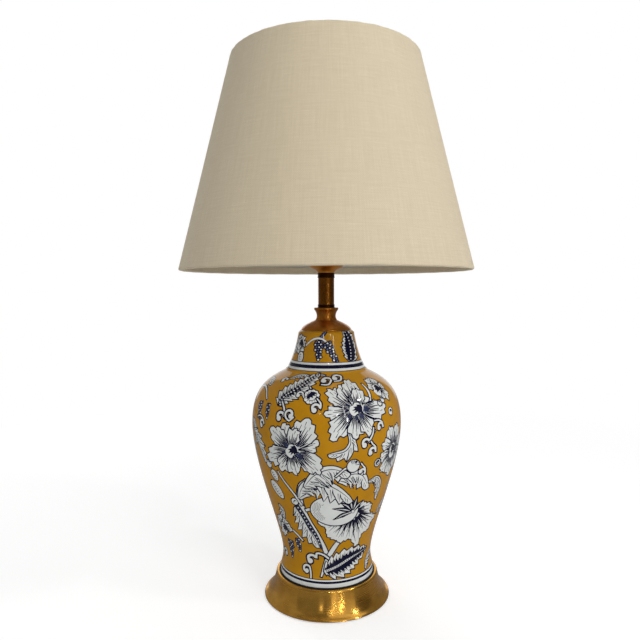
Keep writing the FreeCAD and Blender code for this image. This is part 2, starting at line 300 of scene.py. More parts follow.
def fired_glaze():
    """Clear glaze: a slight orange peel, pooled tone and pinholes."""
    w, given, out = new_group("fired_glaze", {"Peel size": 0.004}, "Height", "Tone", "Speck")
    place = w.place()
    peel = w.noise(place, w.math("DIVIDE", 1.0, given["Peel size"]), 2.0)
    broad = w.noise(place, 38.0, 2.0)
    w.join(w.plus(w.times(peel, 0.25), w.times(broad, 0.75)), out["Height"])
    w.join(w.noise(place, 60.0, 6.0, 0.65), out["Tone"])
    w.join(w.spread(w.noise(place, 1400.0, 2.0), 0.66, 0.74), out["Speck"])
    return w.tree


def linen_weave():
    """Plain weave on UVs in metres: threads over and under, thick slubs and stray dark flecks."""
    w, given, out = new_group("linen_weave", {"Thread": 0.0009, "Slubs": 0.5}, "Height", "Tone", "Fleck")
    cloth = w.node("ShaderNodeUVMap").outputs["UV"]
    wander = w.times(w.less(w.noise(cloth, 55.0, 2.0), 0.5), 0.0009)
    turns = w.math("DIVIDE", math.pi, given["Thread"])
    crowns, waves = [], []
    for way in w.parts(cloth)[:2]:
        phase = w.times(w.plus(way, wander), turns)
        crowns.append(w.math("ABSOLUTE", w.math("SINE", phase)))
        waves.append(w.math("SINE", w.plus(phase, math.pi / 2)))
    woven = w.plus(w.times(w.plus(*crowns), 0.35), w.times(w.times(*waves), 0.15))
    slub_across = w.spread(w.stretched_noise(cloth, (60.0, 900.0), 2.0), 0.60, 0.78)
    slub_along = w.spread(w.stretched_noise(cloth, (900.0, 45.0), 2.0), 0.63, 0.80)
    w.join(w.plus(woven, w.times(w.plus(slub_across, slub_along), given["Slubs"])), out["Height"])
    soft = w.stretched_noise(cloth, (30.0, 700.0), 3.0)
    stripe = w.stretched_noise(cloth, (700.0, 22.0), 3.0)
    w.join(w.times(w.plus(soft, stripe), 0.5), out["Tone"])
    w.join(w.spread(w.stretched_noise(cloth, (240.0, 900.0), 1.0), 0.775, 0.80), out["Fleck"])
    return w.tree


def felt_nap():
    """Short matted fibres."""
    w, given, out = new_group("felt_nap", {"Fibre": 0.0012}, "Height", "Tone")
    place = w.place()
    w.join(w.noise(place, w.math("DIVIDE", 1.0, given["Fibre"]), 4.0, 0.7, 2.5), out["Height"])
    w.join(w.noise(place, 300.0, 3.0), out["Tone"])
    return w.tree


GROUPS = {make.__name__: make()
          for make in (turned_grain, patches, edge_rub_and_crease_shade, fired_glaze, linen_weave, felt_nap)}


# ---- materials ----
def colour(red, green, blue):
    """A screen colour, 0 to 255, as the linear colour that shaders take."""
    linear = [((v / 255 + 0.055) / 1.055) ** 2.4 if v > 10 else v / 255 / 12.92 for v in (red, green, blue)]
    return (*linear, 1.0)


class Finish(Wiring):
    """A material with one Principled BSDF, built up effect by effect."""

    def __init__(self, name, **plain):
        self.material = bpy.data.materials.new(name)
        self.material.use_nodes = True
        super().__init__(self.material.node_tree)
        self.shader = self.tree.nodes["Principled BSDF"]
        for key, value in plain.items():
            self.set(key.replace("_", " "), value)

    def group(self, name, **values):
        given = {key.replace("_", " "): value for key, value in values.items()}
        return self.node("ShaderNodeGroup", given, node_tree=GROUPS[name]).outputs

    def set(self, socket, value):
        self.put(self.shader.inputs[socket], value)

    def tint(self, base, shade, mask, share):
        """A colour drawn towards another where a mask is high."""
        return self.mix(self.times(mask, share), base, colour(*shade))

    def bump(self, height, distance, strength):
        given = {"Height": height, "Distance": distance, "Strength": strength}
        self.set("Normal", self.node("ShaderNodeBump", given).outputs[0])

    def show(self, surface):
        self.join(surface, self.tree.nodes["Material Output"].inputs["Surface"])


# Deep brown of the painted shade in creases.
CREASE_SHADE_BROWN = (52, 30, 12)
BRUSH_DEPTH = 0.00004
GLAZE_SPECULAR = 0.24


def brass(name, light, dark, roughness, lines, tarnish, relief):
    f = Finish(name, Metallic=1.0, Anisotropic=0.85, Anisotropic_Rotation=0.25)
    grain = f.group("turned_grain", Lines_per_metre=lines)
    cloud = f.group("patches", Size=0.035, Cover=tarnish)["Mask"]
    fine = f.group("patches", Size=0.006, Cover=0.45)["Mask"]
    rub_and_crease_shade = f.group("edge_rub_and_crease_shade")
    base = f.tint(colour(*light), dark, cloud, 0.7)
    base = f.tint(base, dark, fine, 0.18)
    base = f.tint(base, light, rub_and_crease_shade["Edge"], 0.35)
    # Painted shade: creases are drawn towards a deep brown.
    f.set("Base Color", f.tint(base, CREASE_SHADE_BROWN, rub_and_crease_shade["Crease shade"], 0.7))
    tone = f.spread(grain["Streak"], 0.3, 0.7, roughness - 0.05, roughness + 0.06)
    f.set("Roughness", f.plus(tone, f.times(cloud, 0.05)))
    f.bump(grain["Height"], BRUSH_DEPTH, relief)
    f.set("Tangent", f.node("ShaderNodeTangent", direction_type="RADIAL", axis="Z").outputs[0])
    return f.material


def glaze(name, base, shade):
    f = Finish(name, IOR=1.5, Specular_IOR_Level=GLAZE_SPECULAR)
    fired = f.group("fired_glaze")
    tone = f.spread(fired["Tone"], 0.32, 0.68, 0.0, 0.5)
    mixed = f.mix(tone, colour(*base), colour(*shade))
    f.set("Base Color", f.tint(mixed, shade, fired["Speck"], 0.35))
    f.set("Roughness", f.spread(fired["Tone"], 0.3, 0.7, 0.03, 0.07))
    f.bump(fired["Height"], 0.0006, 0.07)
    return f.material


def linen():
    f = Finish("natural_linen", Roughness=0.9, Sheen_Weight=0.12, Sheen_Roughness=0.5,
               Specular_IOR_Level=0.15)
    woven = f.group("linen_weave")
    tone = f.mix(f.spread(woven["Tone"], 0.36, 0.64), colour(215, 202, 175), colour(205, 191, 163))
    tone = f.tint(tone, (158, 132, 98), woven["Fleck"], 0.35)
    # Painted shade: the cloth is darker where the weave lies low, between the threads, and lighter on threads
    # and slubs.
    f.set("Base Color", f.mix(f.spread(woven["Height"], 0.15, 0.45), colour(190, 174, 149), tone))
    f.bump(woven["Height"], 0.0003, 0.5)
    return f.material


def lining_sheet():
    f = Finish("lining_sheet", Roughness=0.55)
    cloud = f.group("patches", Size=0.05, Cover=0.4)["Mask"]
    grain = f.group("felt_nap", Fibre=0.004)
    tone = f.tint(colour(216, 212, 204), (200, 194, 184), cloud, 0.5)
    f.set("Base Color", f.tint(tone, (180, 174, 162), grain["Tone"], 0.15))
    f.bump(grain["Height"], 0.0002, 0.25)
    return f.material


def felt():
    f = Finish("base_felt", Roughness=1.0)
    nap = f.group("felt_nap")
    f.set("Base Color", f.mix(nap["Tone"], colour(36, 36, 34), colour(62, 60, 56)))
    f.bump(nap["Height"], 0.0006, 0.8)
    return f.material


def plain_finish(name, base, worn, roughness, metallic=0.0):
    """Moulded, plated or enamelled small parts: worn edges, painted shade in creases, faint patches and a
    fine skin.
    """
    f = Finish(name, Metallic=metallic)
    cloud = f.group("patches", Size=0.012, Cover=0.4)["Mask"]
    rub_and_crease_shade = f.group("edge_rub_and_crease_shade")
    skin = f.group("fired_glaze", Peel_size=0.0015)
    tone = f.tint(colour(*base), worn, cloud, 0.4)
    tone = f.tint(tone, worn, rub_and_crease_shade["Edge"], 0.6)
    # Painted shade: creases are darkened to 0.4 of the base colour.
    f.set("Base Color", f.tint(tone, [v * 0.4 for v in base], rub_and_crease_shade["Crease shade"], 0.6))
    f.set("Roughness", f.spread(cloud, 0.0, 1.0, roughness - 0.04, roughness + 0.08))
    f.bump(skin["Height"], 0.0001, 0.4)
    return f.material


# light and tarnished colour, roughness, brush lines per metre, share tarnished, depth of the brushing
BASE_BRASS = brass("brushed_base_brass", (236, 178, 80), (196, 136, 50), 0.20, 2600.0, 0.45, 0.25)
NECK_BRASS = brass("antique_neck_brass", (136, 84, 28), (104, 56, 14), 0.28, 4200.0, 0.5, 0.15)
CAP_BRASS = brass("antique_cap_brass", (196, 126, 48), (150, 86, 26), 0.30, 4200.0, 0.5, 0.15)
CUP_BRASS = brass("antique_cup_brass", (232, 156, 62), (190, 116, 38), 0.32, 4200.0, 0.4, 0.15)
FERRULE_BRASS = brass("blackened_ferrule_brass", (64, 34, 12), (40, 20, 8), 0.34, 4200.0, 0.5, 0.15)
LINEN = linen()
LINING = lining_sheet()
GLAZES = (
    glaze("ochre_glaze", (184, 130, 14), (164, 112, 8)),
    glaze("white_glaze", (216, 218, 215), (200, 203, 202)),
    glaze("grey_blue_wash", (92, 100, 136), (70, 78, 116)),
    glaze("navy_glaze", (10, 11, 40), (5, 5, 26)),
)
BISCUIT = glaze("plain_white_glaze", (200, 198, 188), (176, 172, 160))


# ---- floor, world and lights ----
FLOOR_Z = -0.0003              # just clear of the felt
FLOOR_HALF = 4.0
FLOOR_LIFT = 0.43
SHADOW_REACH = (0.35, 1.3)     # metres from the lamp over which the floor turns plain white
MIRRORED_DIM = 0.56            # how far the floor is dimmed where metal or glaze mirrors it,
STREAK = (14, 4)               # but for a streak of window light: its middle and half width in degrees
STREAK_EDGE = 2
WORLD_FILL = 0.52


def round_lamp(azimuth, elevation, away, height=0.0):
    """A place some metres from the lamp, by azimuth and elevation in degrees."""
    a, e = math.radians(azimuth), math.radians(elevation)
    return (away * math.cos(e) * math.sin(a), -away * math.cos(e) * math.cos(a), height + away * math.sin(e))


def studio_sheet(name, points, faces, material):
    mesh = bpy.data.meshes.new(name)
    mesh.from_pydata(points, [], faces)
    mesh.materials.append(material)
    sheet = bpy.data.objects.new(name, mesh)
    bpy.context.scene.collection.objects.link(sheet)
    return sheet


def floor_finish():
    """Pale matt floor. What the camera sees is lifted to white, and keeps the shadow near the lamp."""
    f = Finish("pale_floor", Roughness=0.9, Specular_IOR_Level=0.0)
    cloud = f.group("patches", Size=0.5, Cover=0.5)["Mask"]
    tone = f.mix(cloud, (0.74, 0.74, 0.74, 1), (0.72, 0.72, 0.72, 1))
    path = f.node("ShaderNodeLightPath").outputs
    x, y, _ = f.parts(f.place())
    bearing = f.math("ARCTAN2", x, f.times(y, -1.0))
    middle, half = STREAK
    aside = f.math("ABSOLUTE", f.less(bearing, math.radians(middle)))
    dim = f.spread(aside, math.radians(half), math.radians(half + STREAK_EDGE), 0.0, MIRRORED_DIM)
    # Painted reflection: as metal and glaze see it, the floor is painted darker, but for a painted streak of
    # window light.
    f.set("Base Color", f.mix(f.times(path["Is Glossy Ray"], dim), tone, (0, 0, 0, 1)))
    seen = path["Is Camera Ray"]
    lift = f.node("ShaderNodeEmission", {"Strength": f.times(seen, FLOOR_LIFT)})
    lifted = f.node("ShaderNodeAddShader", (f.shader.outputs[0], lift.outputs[0]))
    far = f.times(f.spread(f.distance(x, y), *SHADOW_REACH), seen)
    white = f.node("ShaderNodeEmission")
    f.show(f.node("ShaderNodeMixShader", (far, lifted.outputs[0], white.outputs[0])).outputs[0])
    return f.material


def make_floor():
    corners = [(x * FLOOR_HALF, y * FLOOR_HALF, FLOOR_Z) for x, y in ((-1, -1), (1, -1), (1, 1), (-1, 1))]
    floor = studio_sheet("floor", corners, [(0, 1, 2, 3)], floor_finish())


def make_world():
    world = bpy.data.worlds.new("studio")
    world.use_nodes = True
    bpy.context.scene.world = world
    w = Wiring(world.node_tree)
    backdrop = world.node_tree.nodes["Background"]
    backdrop.inputs["Color"].default_value = (1, 1, 1, 1)
    path = w.node("ShaderNodeLightPath").outputs
    mirrored = w.math("MAXIMUM", path["Is Glossy Ray"], path["Is Transmission Ray"])
    seen = w.math("MAXIMUM", path["Is Camera Ray"], mirrored)
    w.join(w.spread(seen, 0.0, 1.0, WORLD_FILL, 1.0), backdrop.inputs["Strength"])


# Grey screens round the lamp, as a photographer's room has: first and last azimuth, lowest and highest
# elevation in degrees, grey. Polished metal and glaze mirror them and the white gaps between them.
SCREEN_AWAY = 2.6
SCREENS = (
    ("far_left", -150, -62, -8, 62, 0.30), ("near_left", -62, 9, -8, 62, 0.18),
    ("middle_right", 19, 58, -8, 54, 0.50), ("near_right", 58, 96, -8, 54, 0.10),
    ("far_right", 96, 150, -8, 54, 0.22), ("ceiling_left", -180, 9, 62, 90, 0.16),
    ("ceiling_right", 19, 180, 54, 90, 0.85),
)
SCREEN_COLUMNS, SCREEN_ROWS = 12, 6


def plain_grey(name, grey):
    f = Finish(name)
    patchy = f.noise(f.place(), 1.2, 2.0)
    cloth = f.node("ShaderNodeEmission", {"Strength": f.spread(patchy, 0.3, 0.7, 0.85 * grey, 1.15 * grey)})
    f.show(cloth.outputs[0])
    return f.material


def make_screens():
    """Screens show only in mirrors: they neither shade the lamp nor stand in a camera's way."""
    side = SCREEN_ROWS + 1
    faces = [(k, k + side, k + side + 1, k + 1)
             for i in range(SCREEN_COLUMNS) for k in range(i * side, i * side + SCREEN_ROWS)]
    for name, start, end, low_edge, high_edge, grey in SCREENS:
        points = [round_lamp(a, e, SCREEN_AWAY) for a in np.linspace(start, end, SCREEN_COLUMNS + 1)
                  for e in np.linspace(low_edge, high_edge, side)]
        screen = studio_sheet(name + "_screen", points, faces, plain_grey(name + "_grey", grey))
        for sort in ("camera", "diffuse", "shadow", "transmission", "volume_scatter"):
            setattr(screen, "visible_" + sort, False)


def soft_box(name, place, aim, width, height, watts, mirrored=True):
    data = bpy.data.lights.new(name, "AREA")
    data.shape = "RECTANGLE"
    data.size = width
    data.size_y = height
    data.energy = watts
    lamp = bpy.data.objects.new(name, data)
    lamp.location = place
    lamp.rotation_euler = (Vector((0, 0, aim)) - Vector(place)).to_track_quat("-Z", "Y").to_euler()
    lamp.visible_glossy = mirrored
    bpy.context.scene.collection.objects.link(lamp)


# Far window panes that leave glints on the glaze: azimuth, elevation, width, height in m, watts.
PANES = ((66, 42, 0.22, 0.07, 5.0), (31, 8, 0.09, 0.09, 1.6), (16, 17, 0.07, 0.07, 0.8),
         (8, 39, 0.05, 0.09, 2.0), (-11, 19, 0.06, 0.06, 0.8))
PANE_AWAY = 2.2
PANE_AIM = 0.24


# Soft boxes: place, height aimed at, width and height in m, watts, whether glaze and brass mirror it.
SOFT_BOXES = (
    ("right_box", (1.05, -1.30, 0.95), 0.35, 0.55, 1.3, 7.6, False),
    ("front_strip", (0.90, -1.70, 1.10), 0.25, 0.05, 0.9, 3.2, True),
    ("back_box", (-0.9, 1.5, 1.1), 0.4, 1.0, 1.0, 8.0, False),
)


def make_lights():
    for k, (azimuth, elevation, *size_and_watts) in enumerate(PANES):
        place = round_lamp(azimuth, elevation, PANE_AWAY, PANE_AIM)
        soft_box(f"pane_{k + 1}", place, PANE_AIM, *size_and_watts)
    for box in SOFT_BOXES:
        soft_box(*box)
    bpy.context.scene.view_settings.view_transform = "Standard"


make_camera()
make_floor()
make_world()
make_screens()
make_lights()

# ---- painting: flat shapes ----
# A motif is a list of (glaze, shape) in millimetres about its own middle, later shapes on top.
GROUND, WHITE, WASH, NAVY = range(4)
INK = 1.35                     # width of a drawn outline
FINE_INK = 0.6
STROKE_STEP = 1.6
TINY = 1e-9
hand = random.Random(11)       # small unevenness of the painter's hand


def spline(points, step=1.3):
    """A smooth line through the points, evenly sampled."""
    p = np.array(points, float)
    p = np.vstack([2 * p[0] - p[1], p, 2 * p[-1] - p[-2]])
    line = []
    for a, b, c, d in zip(p, p[1:], p[2:], p[3:]):
        count = max(2, int(math.hypot(*(c - b)) / step))
        t = np.linspace(0, 1, count, endpoint=False)[:, None]
        line.append(0.5 * (2 * b + (c - a) * t + (2 * a - 5 * b + 4 * c - d) * t ** 2
                           + (3 * b - a - 3 * c + d) * t ** 3))
    return np.vstack(line + [p[-2:-1]])


def unit(vectors):
    """The same directions at a length of 1."""
    return vectors / np.maximum(np.hypot(*vectors.T), TINY)[:, None]


def sideways(line):
    """Unit vectors to the left of an open line."""
    along = unit(np.gradient(line, axis=0))
    return np.column_stack([-along[:, 1], along[:, 0]])


def grown(shape, by):
    """A closed shape, wider by a margin all round."""
    after = np.roll(shape, -1, 0)
    area = np.sum(shape[:, 0] * after[:, 1] - after[:, 0] * shape[:, 1])
    edges = unit(after - shape) + unit(shape - np.roll(shape, 1, 0))
    middle = np.column_stack([edges[:, 1], -edges[:, 0]]) * math.copysign(1, area)
    stretch = np.maximum((middle ** 2).sum(1) / 2, 0.75)[:, None]
    return shape + middle / stretch * by


def brushed(points, *widths):
    """The shape of a brush stroke; its widths are spread evenly from start to end."""
    line = spline(points, STROKE_STEP)
    wide = np.interp(np.linspace(0, 1, len(line)), np.linspace(0, 1, len(widths)), widths)[:, None] / 2
    left = sideways(line) * wide
    return np.vstack([line + left, (line - left)[::-1]])


def stroke(points, *widths, glaze=NAVY):
    return [(glaze, brushed(points, *widths))]


def inked(shape, glaze=WHITE, ink=INK):
    return [(NAVY, grown(shape, ink)), (glaze, shape)]


def drawn(points, *widths, glaze=WHITE, ink=INK):
    """A stroke with an outline, such as a stem."""
    return inked(brushed(points, *widths), glaze, ink)


def circle(sides):
    turn = np.linspace(0, TAU, sides, endpoint=False)
    return np.column_stack([np.cos(turn), np.sin(turn)])


def disc(x, y, radius, sides=12):
    return circle(sides) * radius + (x, y)


def spot(glaze, x, y, radius, sides=8):
    return [(glaze, disc(x, y, radius, sides))]


def ray(near, far, angle, *widths, lean=0.0):
    """A straight stroke from one radius to another, at an angle about the motif's middle."""
    return stroke([(near * math.cos(angle), near * math.sin(angle)),
                   (far * math.cos(angle + lean), far * math.sin(angle + lean))], *widths)


def moved(marks, turn=0.0, size=1.0, flip=False):
    a = math.radians(turn)
    spin = np.array([[math.cos(a), math.sin(a)], [-math.sin(a), math.cos(a)]]) * size
    mirror = np.array([-1.0 if flip else 1.0, 1.0])
    return [(glaze, (shape * mirror) @ spin) for glaze, shape in marks]


def toothed(points, pitch, depth, start=0.0):
    """An edge with uneven teeth that lean towards its end, from some share of its length on."""
    line = spline(points, pitch / 3)
    rise = np.clip((np.linspace(0, 1, len(line)) - start) / 0.2, 0, 1)
    lift = depth * rise * [(-0.3, 0.35, hand.uniform(0.5, 1.35))[k % 3] for k in range(len(line))]
    lift[0] = lift[-1] = 0
    return line + sideways(line) * lift[:, None]


# ---- painting: motifs ----
def petal(length, width):
    """A petal along +X: a narrow claw, a broad blade and a jagged end that leans to one side."""
    size = np.array((length, width))
    lean = hand.uniform(-0.24, 0.24) * width
    sides = []
    for side in (1, -1):
        broad = hand.uniform(0.38, 0.48)
        blade = np.array([(0, 0.05), (0.22, 0.22), (0.46, 0.84 * broad), (0.68, broad), (0.88, 0.55 * broad)])
        tip = (1.04 * length, side * lean)
        sides.append(toothed([*(blade * size), tip], 8.0, 2.8, 0.45) * (1, side))
    marks = inked(np.vstack([sides[0], sides[1][::-1][1:]]))
    core = toothed(np.array([(0, 0.05), (0.20, 0.13), (0.34, 0.10)]) * size, 2.6, 1.2)
    marks.append((WASH, np.vstack([core, [(0.42 * length, 0.0)], core[::-1] * (1, -1)])))
    lines = max(5, int(round(width / 2.3)))
    for k in range(lines):
        f = 2 * (k + 0.5) / lines - 1
        end = (0.70 + 0.13 * math.cos(2.4 * k + width) - 0.15 * f * f) * length
        marks += stroke([(0.22 * length, 0.20 * f * width), (0.40 * length, 0.33 * f * width),
                         (end, 0.42 * f * width + 0.25 * lean)], 0.6, 1.4, 0.5)
    for f in (-0.5, 0.1):
        marks += stroke([(0.94 * length - abs(f) * 6, 0.4 * f * width + 0.7 * lean),
                         (0.76 * length, 0.36 * f * width + 0.3 * lean)], 0.9, 0.25)
    return marks


CUP = [(-9.5, -1.5), (-8.0, 3.2), (-4.0, 4.4), (-1.5, 7.2), (3.0, 6.6), (5.0, 3.6), (5.6, -1.0),
       (3.0, -5.0), (-1.0, -5.4), (-4.0, -7.8), (-7.6, -5.6)]
FAN = [(8.2, 5.4), (4.2, 4.8), (-0.5, 5.0), (0.6, 3.2), (-4.6, 2.6), (-2.4, 0.8), (-6.2, -1.4),
       (-1.8, -1.6), (-4.4, -4.6), (0.4, -2.8), (1.0, -5.6), (4.8, -3.4), (8.0, -1.0)]
SMALL_FAN = [(-4.6, -1.6), (-3.8, 2.0), (-1.0, 4.6), (2.2, 5.0), (5.2, 3.4), (2.6, 2.4), (4.2, 0.6),
             (1.0, 0.8), (1.8, -1.6), (-1.0, -0.6), (-1.6, -3.0)]


def blossom(petals, heart_turn=0.0):
    """Petals are (direction, length, width), the last one on top."""
    marks = []
    for direction, length, width in petals:
        marks += moved(petal(length, width), turn=direction)
    marks.append((NAVY, circle(30) * np.tile([(6.2, 5.4), (9.8, 8.8)], (15, 1))))
    heart = inked(spline(CUP + CUP[:1], 1.5)[:-1], ink=0.7) + [(NAVY, np.array(FAN))]
    heart += stroke([(5.6, 5.6), (7.6, 1.6), (6.4, -3.0)], 0.6, 1.8, 0.6, glaze=WHITE)
    return marks + moved(heart, turn=heart_turn)


def curl(size=1.0, sweep=265.0, tail=()):
    """A hook that ends in a small ball; tail points come before the hook."""
    turn, radius = np.linspace((0, 4.8), (math.radians(sweep), 2.2), 9).T
    hook = np.column_stack([radius * np.cos(turn), radius * np.sin(turn)])
    shapes = [brushed([*tail, *hook], 1.3, 2.2, 2.8), disc(*hook[-1], 2.5)]
    marks = [(NAVY, grown(shape, INK)) for shape in shapes] + [(WHITE, shape) for shape in shapes]
    return moved(marks, size=size)


def plume(spine, depth, lobes=6):
    """A feathered half leaf: a smooth back, and pointed lobes along its other side that lean to its end."""
    line = spline(spine, 1.0)
    left = sideways(line) * math.copysign(1, depth)
    share = np.linspace(0, 1, len(line))
    swell = abs(depth) * np.sin(math.pi * np.clip(share * 0.94 + 0.04, 0, 1)) ** 0.7
    beat = (share * lobes) % 1.0
    reach_out = left * swell[:, None]
    lobed = line - reach_out * (0.5 + 0.55 * beat ** 1.3)[:, None]
    marks = inked(np.vstack([line + reach_out * 0.3, lobed[::-1]]))
    for k in range(1, lobes):
        notch = int(len(line) * k / lobes)
        start = max(0, notch - int(0.9 * len(line) / lobes))
        middle = (notch + start) // 2
        marks += stroke([lobed[notch], line[middle] - reach_out[middle] * 0.30,
                         line[start] - reach_out[start] * 0.02], 1.5, 1.1, 0.4)
        for f, deep in ((0.35, 0.55), (0.68, 0.72)):
            tip = min(len(line) - 1, int(len(line) * (k + f) / lobes))
            root = max(0, tip - int(0.5 * len(line) / lobes))
            marks += stroke([line[root] - reach_out[root] * 0.12, line[tip] - reach_out[tip] * deep],
                            0.9, 0.3)
    return marks + stroke((line + reach_out * 0.08)[:: max(1, len(line) // 7)], 0.3, 1.0, 1.0, 0.4)


def rib_leaf(spine, width, core=0.58, bead_gap=2.7, bead=0.75, rib=WHITE, teeth=2.4, pitch=7.0):
    """A toothed leaf with veins, a dark middle and a beaded rib."""
    step, vein, ahead_by = 1.2, 2, 4
    line = spline(spine, step)
    share = np.linspace(0, 1, len(line))
    left = sideways(line)
    swell = width / 2 * np.sin(math.pi * share ** 0.8) ** 0.7

    def blade(part, gap, depth):
        edges = []
        for side in (1, -1):
            phase = (share * len(line) * step / gap + 0.25 * side) % 1.0
            wide = swell * part + depth * (phase ** 1.3 - 0.35) * np.minimum(1, swell / width * 4)
            edges.append(line + side * left * wide[:, None])
        return np.vstack([edges[0], edges[1][::-1]])

    marks = inked(blade(0.86, pitch, teeth)) + [(NAVY, blade(core, 0.5 * pitch, 1.2 * teeth))]
    for k in range(vein, len(line) - ahead_by, vein):
        ahead = k + ahead_by
        far = 0.86 if (k // vein) % 2 else 0.7
        for side in (1, -1):
            start = line[k] + side * left[k] * swell[k] * 0.12
            end = line[ahead] + side * left[ahead] * swell[ahead] * far
            marks += stroke([start, start * 0.45 + end * 0.55, end], 0.9, 0.8, 0.25)
    marks += stroke(line[:: max(1, len(line) // 6)], 2.2, 2.6, 0.7, glaze=rib)
    gap = max(2, int(round(bead_gap / step)))
    for k in range(gap, len(line) - gap, gap):
        marks += spot(NAVY if rib == WHITE else WHITE, *line[k], bead)
    return marks


def daisy(radius):
    wavy = 0.88 + 0.12 * np.abs(np.sin(5.5 * np.linspace(0, TAU, 44, endpoint=False)))
    marks = inked(circle(44) * (radius * wavy)[:, None])
    for k in range(14):
        marks += ray(0.55 * radius, 0.82 * radius, TAU * k / 14, 0.7, 0.3)
    marks += inked(disc(0, 0.5, 0.56 * radius, 16), ink=FINE_INK)
    return marks + [(NAVY, np.array(SMALL_FAN) * radius / 7.6)]


def berry(radius):
    marks = inked(disc(0, 0, radius, 22))
    for k in range(7):
        marks += ray(0.93 * radius, 0.35 * radius, math.radians(10 + 18 * k), 1.1, 0.2, lean=0.15)
    marks += spot(NAVY, 0.42 * radius, 0.62 * radius, 0.24 * radius)
    return marks + spot(WHITE, 0.62 * radius, 0.42 * radius, 0.13 * radius, 7)


def bud(length, width, ticks=6):
    """A pod along +X with short ticks on its lower side."""
    x, y = circle(30).T
    marks = inked(np.column_stack([length / 2 * (1 + x), width / 2 * y * (1 - 0.15 * x)]))
    crease = np.array([(0.1, -0.1), (0.5, -0.25), (0.86, -0.12)]) * (length, width)
    marks += stroke(crease, 0.4, 0.9, 0.3)
    for k in range(ticks):
        x = length * (0.2 + 0.62 * k / (ticks - 1))
        marks += stroke([(x, -0.22 * width), (x + 0.8, 0.16 * width)], 0.9, 0.25)
    return marks


def grapes(length, width):
    """A hanging bunch along +X that narrows to its end."""
    marks = []
    row_gap, grape_gap, grape, light = 3.0, 3.4, 2.5, 1.15
    rows = int(length / row_gap)
    for row in range(rows):
        x = 2.0 + row * row_gap
        across = width * (1 - 0.75 * (row / rows) ** 1.3)
        count = max(1, int(round(across / 3.6)))
        for k in range(count):
            y = (k - (count - 1) / 2) * grape_gap + 0.5 * (-1) ** row
            marks += spot(NAVY, x, y, grape, 9)
            marks += spot(WHITE if (row + k) % 2 else WASH, x + 0.2, y + 0.2, light)
    return marks


def frill(points, centre, folds):
    """A crimped skirt round a fruit's crown."""
    line = toothed(points, 5.0, 1.6)
    wave = 1.0 + 0.08 * np.sin(np.linspace(0, folds * TAU, len(line)))[:, None]
    edge = (line - centre) * wave + centre
    marks = inked(np.vstack([edge, [centre]]))
    for k in range(1, len(edge) - 1):
        out = edge[k] - centre
        deep = 0.70 + 0.22 * math.cos(1.9 * k)
        bend = np.array([-out[1], out[0]]) * 0.04 * math.sin(0.9 * k)
        vein = [centre + 0.25 * out, centre + 0.55 * out + bend, centre + deep * out]
        marks += stroke(vein, 1.3, 1.15, 0.3)
    return marks


SKIRT = [(-8, -8), (-7, -17), (-3, -27), (4, -33), (10, -43), (24, -40), (38, -49), (48, -44), (54, -34),
         (66, -28), (67, -16), (58, -8), (55, 4), (44, 10)]
CROWN_TIPS = [(6, 4, 6.0), (7, -11, 6.2), (15, 12, 7.2), (24, 18, 7.8), (35, 18, 7.2), (43, 11, 6)]


def pomegranate():
    crown = np.array((31.0, -2.0))
    fruit = np.array((28, 19.5))
    middle = (9, 2)
    marks = frill(SKIRT, crown, 7)
    marks += moved(inked(circle(46) * fruit + middle), turn=-8)
    for k in range(90):
        a = math.radians(140 + (k * 47) % 95)
        far = 0.62 + 0.33 * ((k * 29) % 17) / 17
        marks += spot(NAVY, *(fruit * far * (math.cos(a), math.sin(a)) + middle), 0.48, 5)
    for x, y, wide in CROWN_TIPS:
        tip = np.array((x, y), float)
        bend = (tip + crown) / 2 + (0, 1.4)
        marks += drawn([crown, bend, tip], 1.6, wide, 0.5, glaze=NAVY, ink=0.3)
        marks += stroke([crown, bend, tip * 0.85 + crown * 0.15], 0.5, 0.22 * wide, 0.2, glaze=WHITE)
    return marks + inked(disc(*crown, 2.0, 10), ink=FINE_INK)


def beaded_stem(spine):
    line = spline(spine, 1.5)
    marks = drawn(spine, 6.0, 5.6, 2.6, glaze=NAVY, ink=0.4)
    marks += stroke(spine, 3.6, 3.4, 1.0, glaze=WASH) + stroke(spine, 3.0, 2.8, 0.6)
    for k in range(4, len(line) - 3, 3):
        marks += spot(WHITE, *line[k], 1.0)
    return marks


# ---- painting: skins of the jar and the lid ----
CHART_R = 75.0                 # mm across a chart per radian
CHART_EDGE = math.pi * CHART_R
GRID = 4.6                     # mm between the chart's own points
EDGE_GAP = 0.3                 # mm that motifs keep from a chart's top and bottom
SLOPE_STEP = 0.4               # mm of climb over which the side's slope is taken
BAND_POINTS = 118
CUT_TOLERANCE = 1e-4
FRONT_AND_BACK = (0, 180)


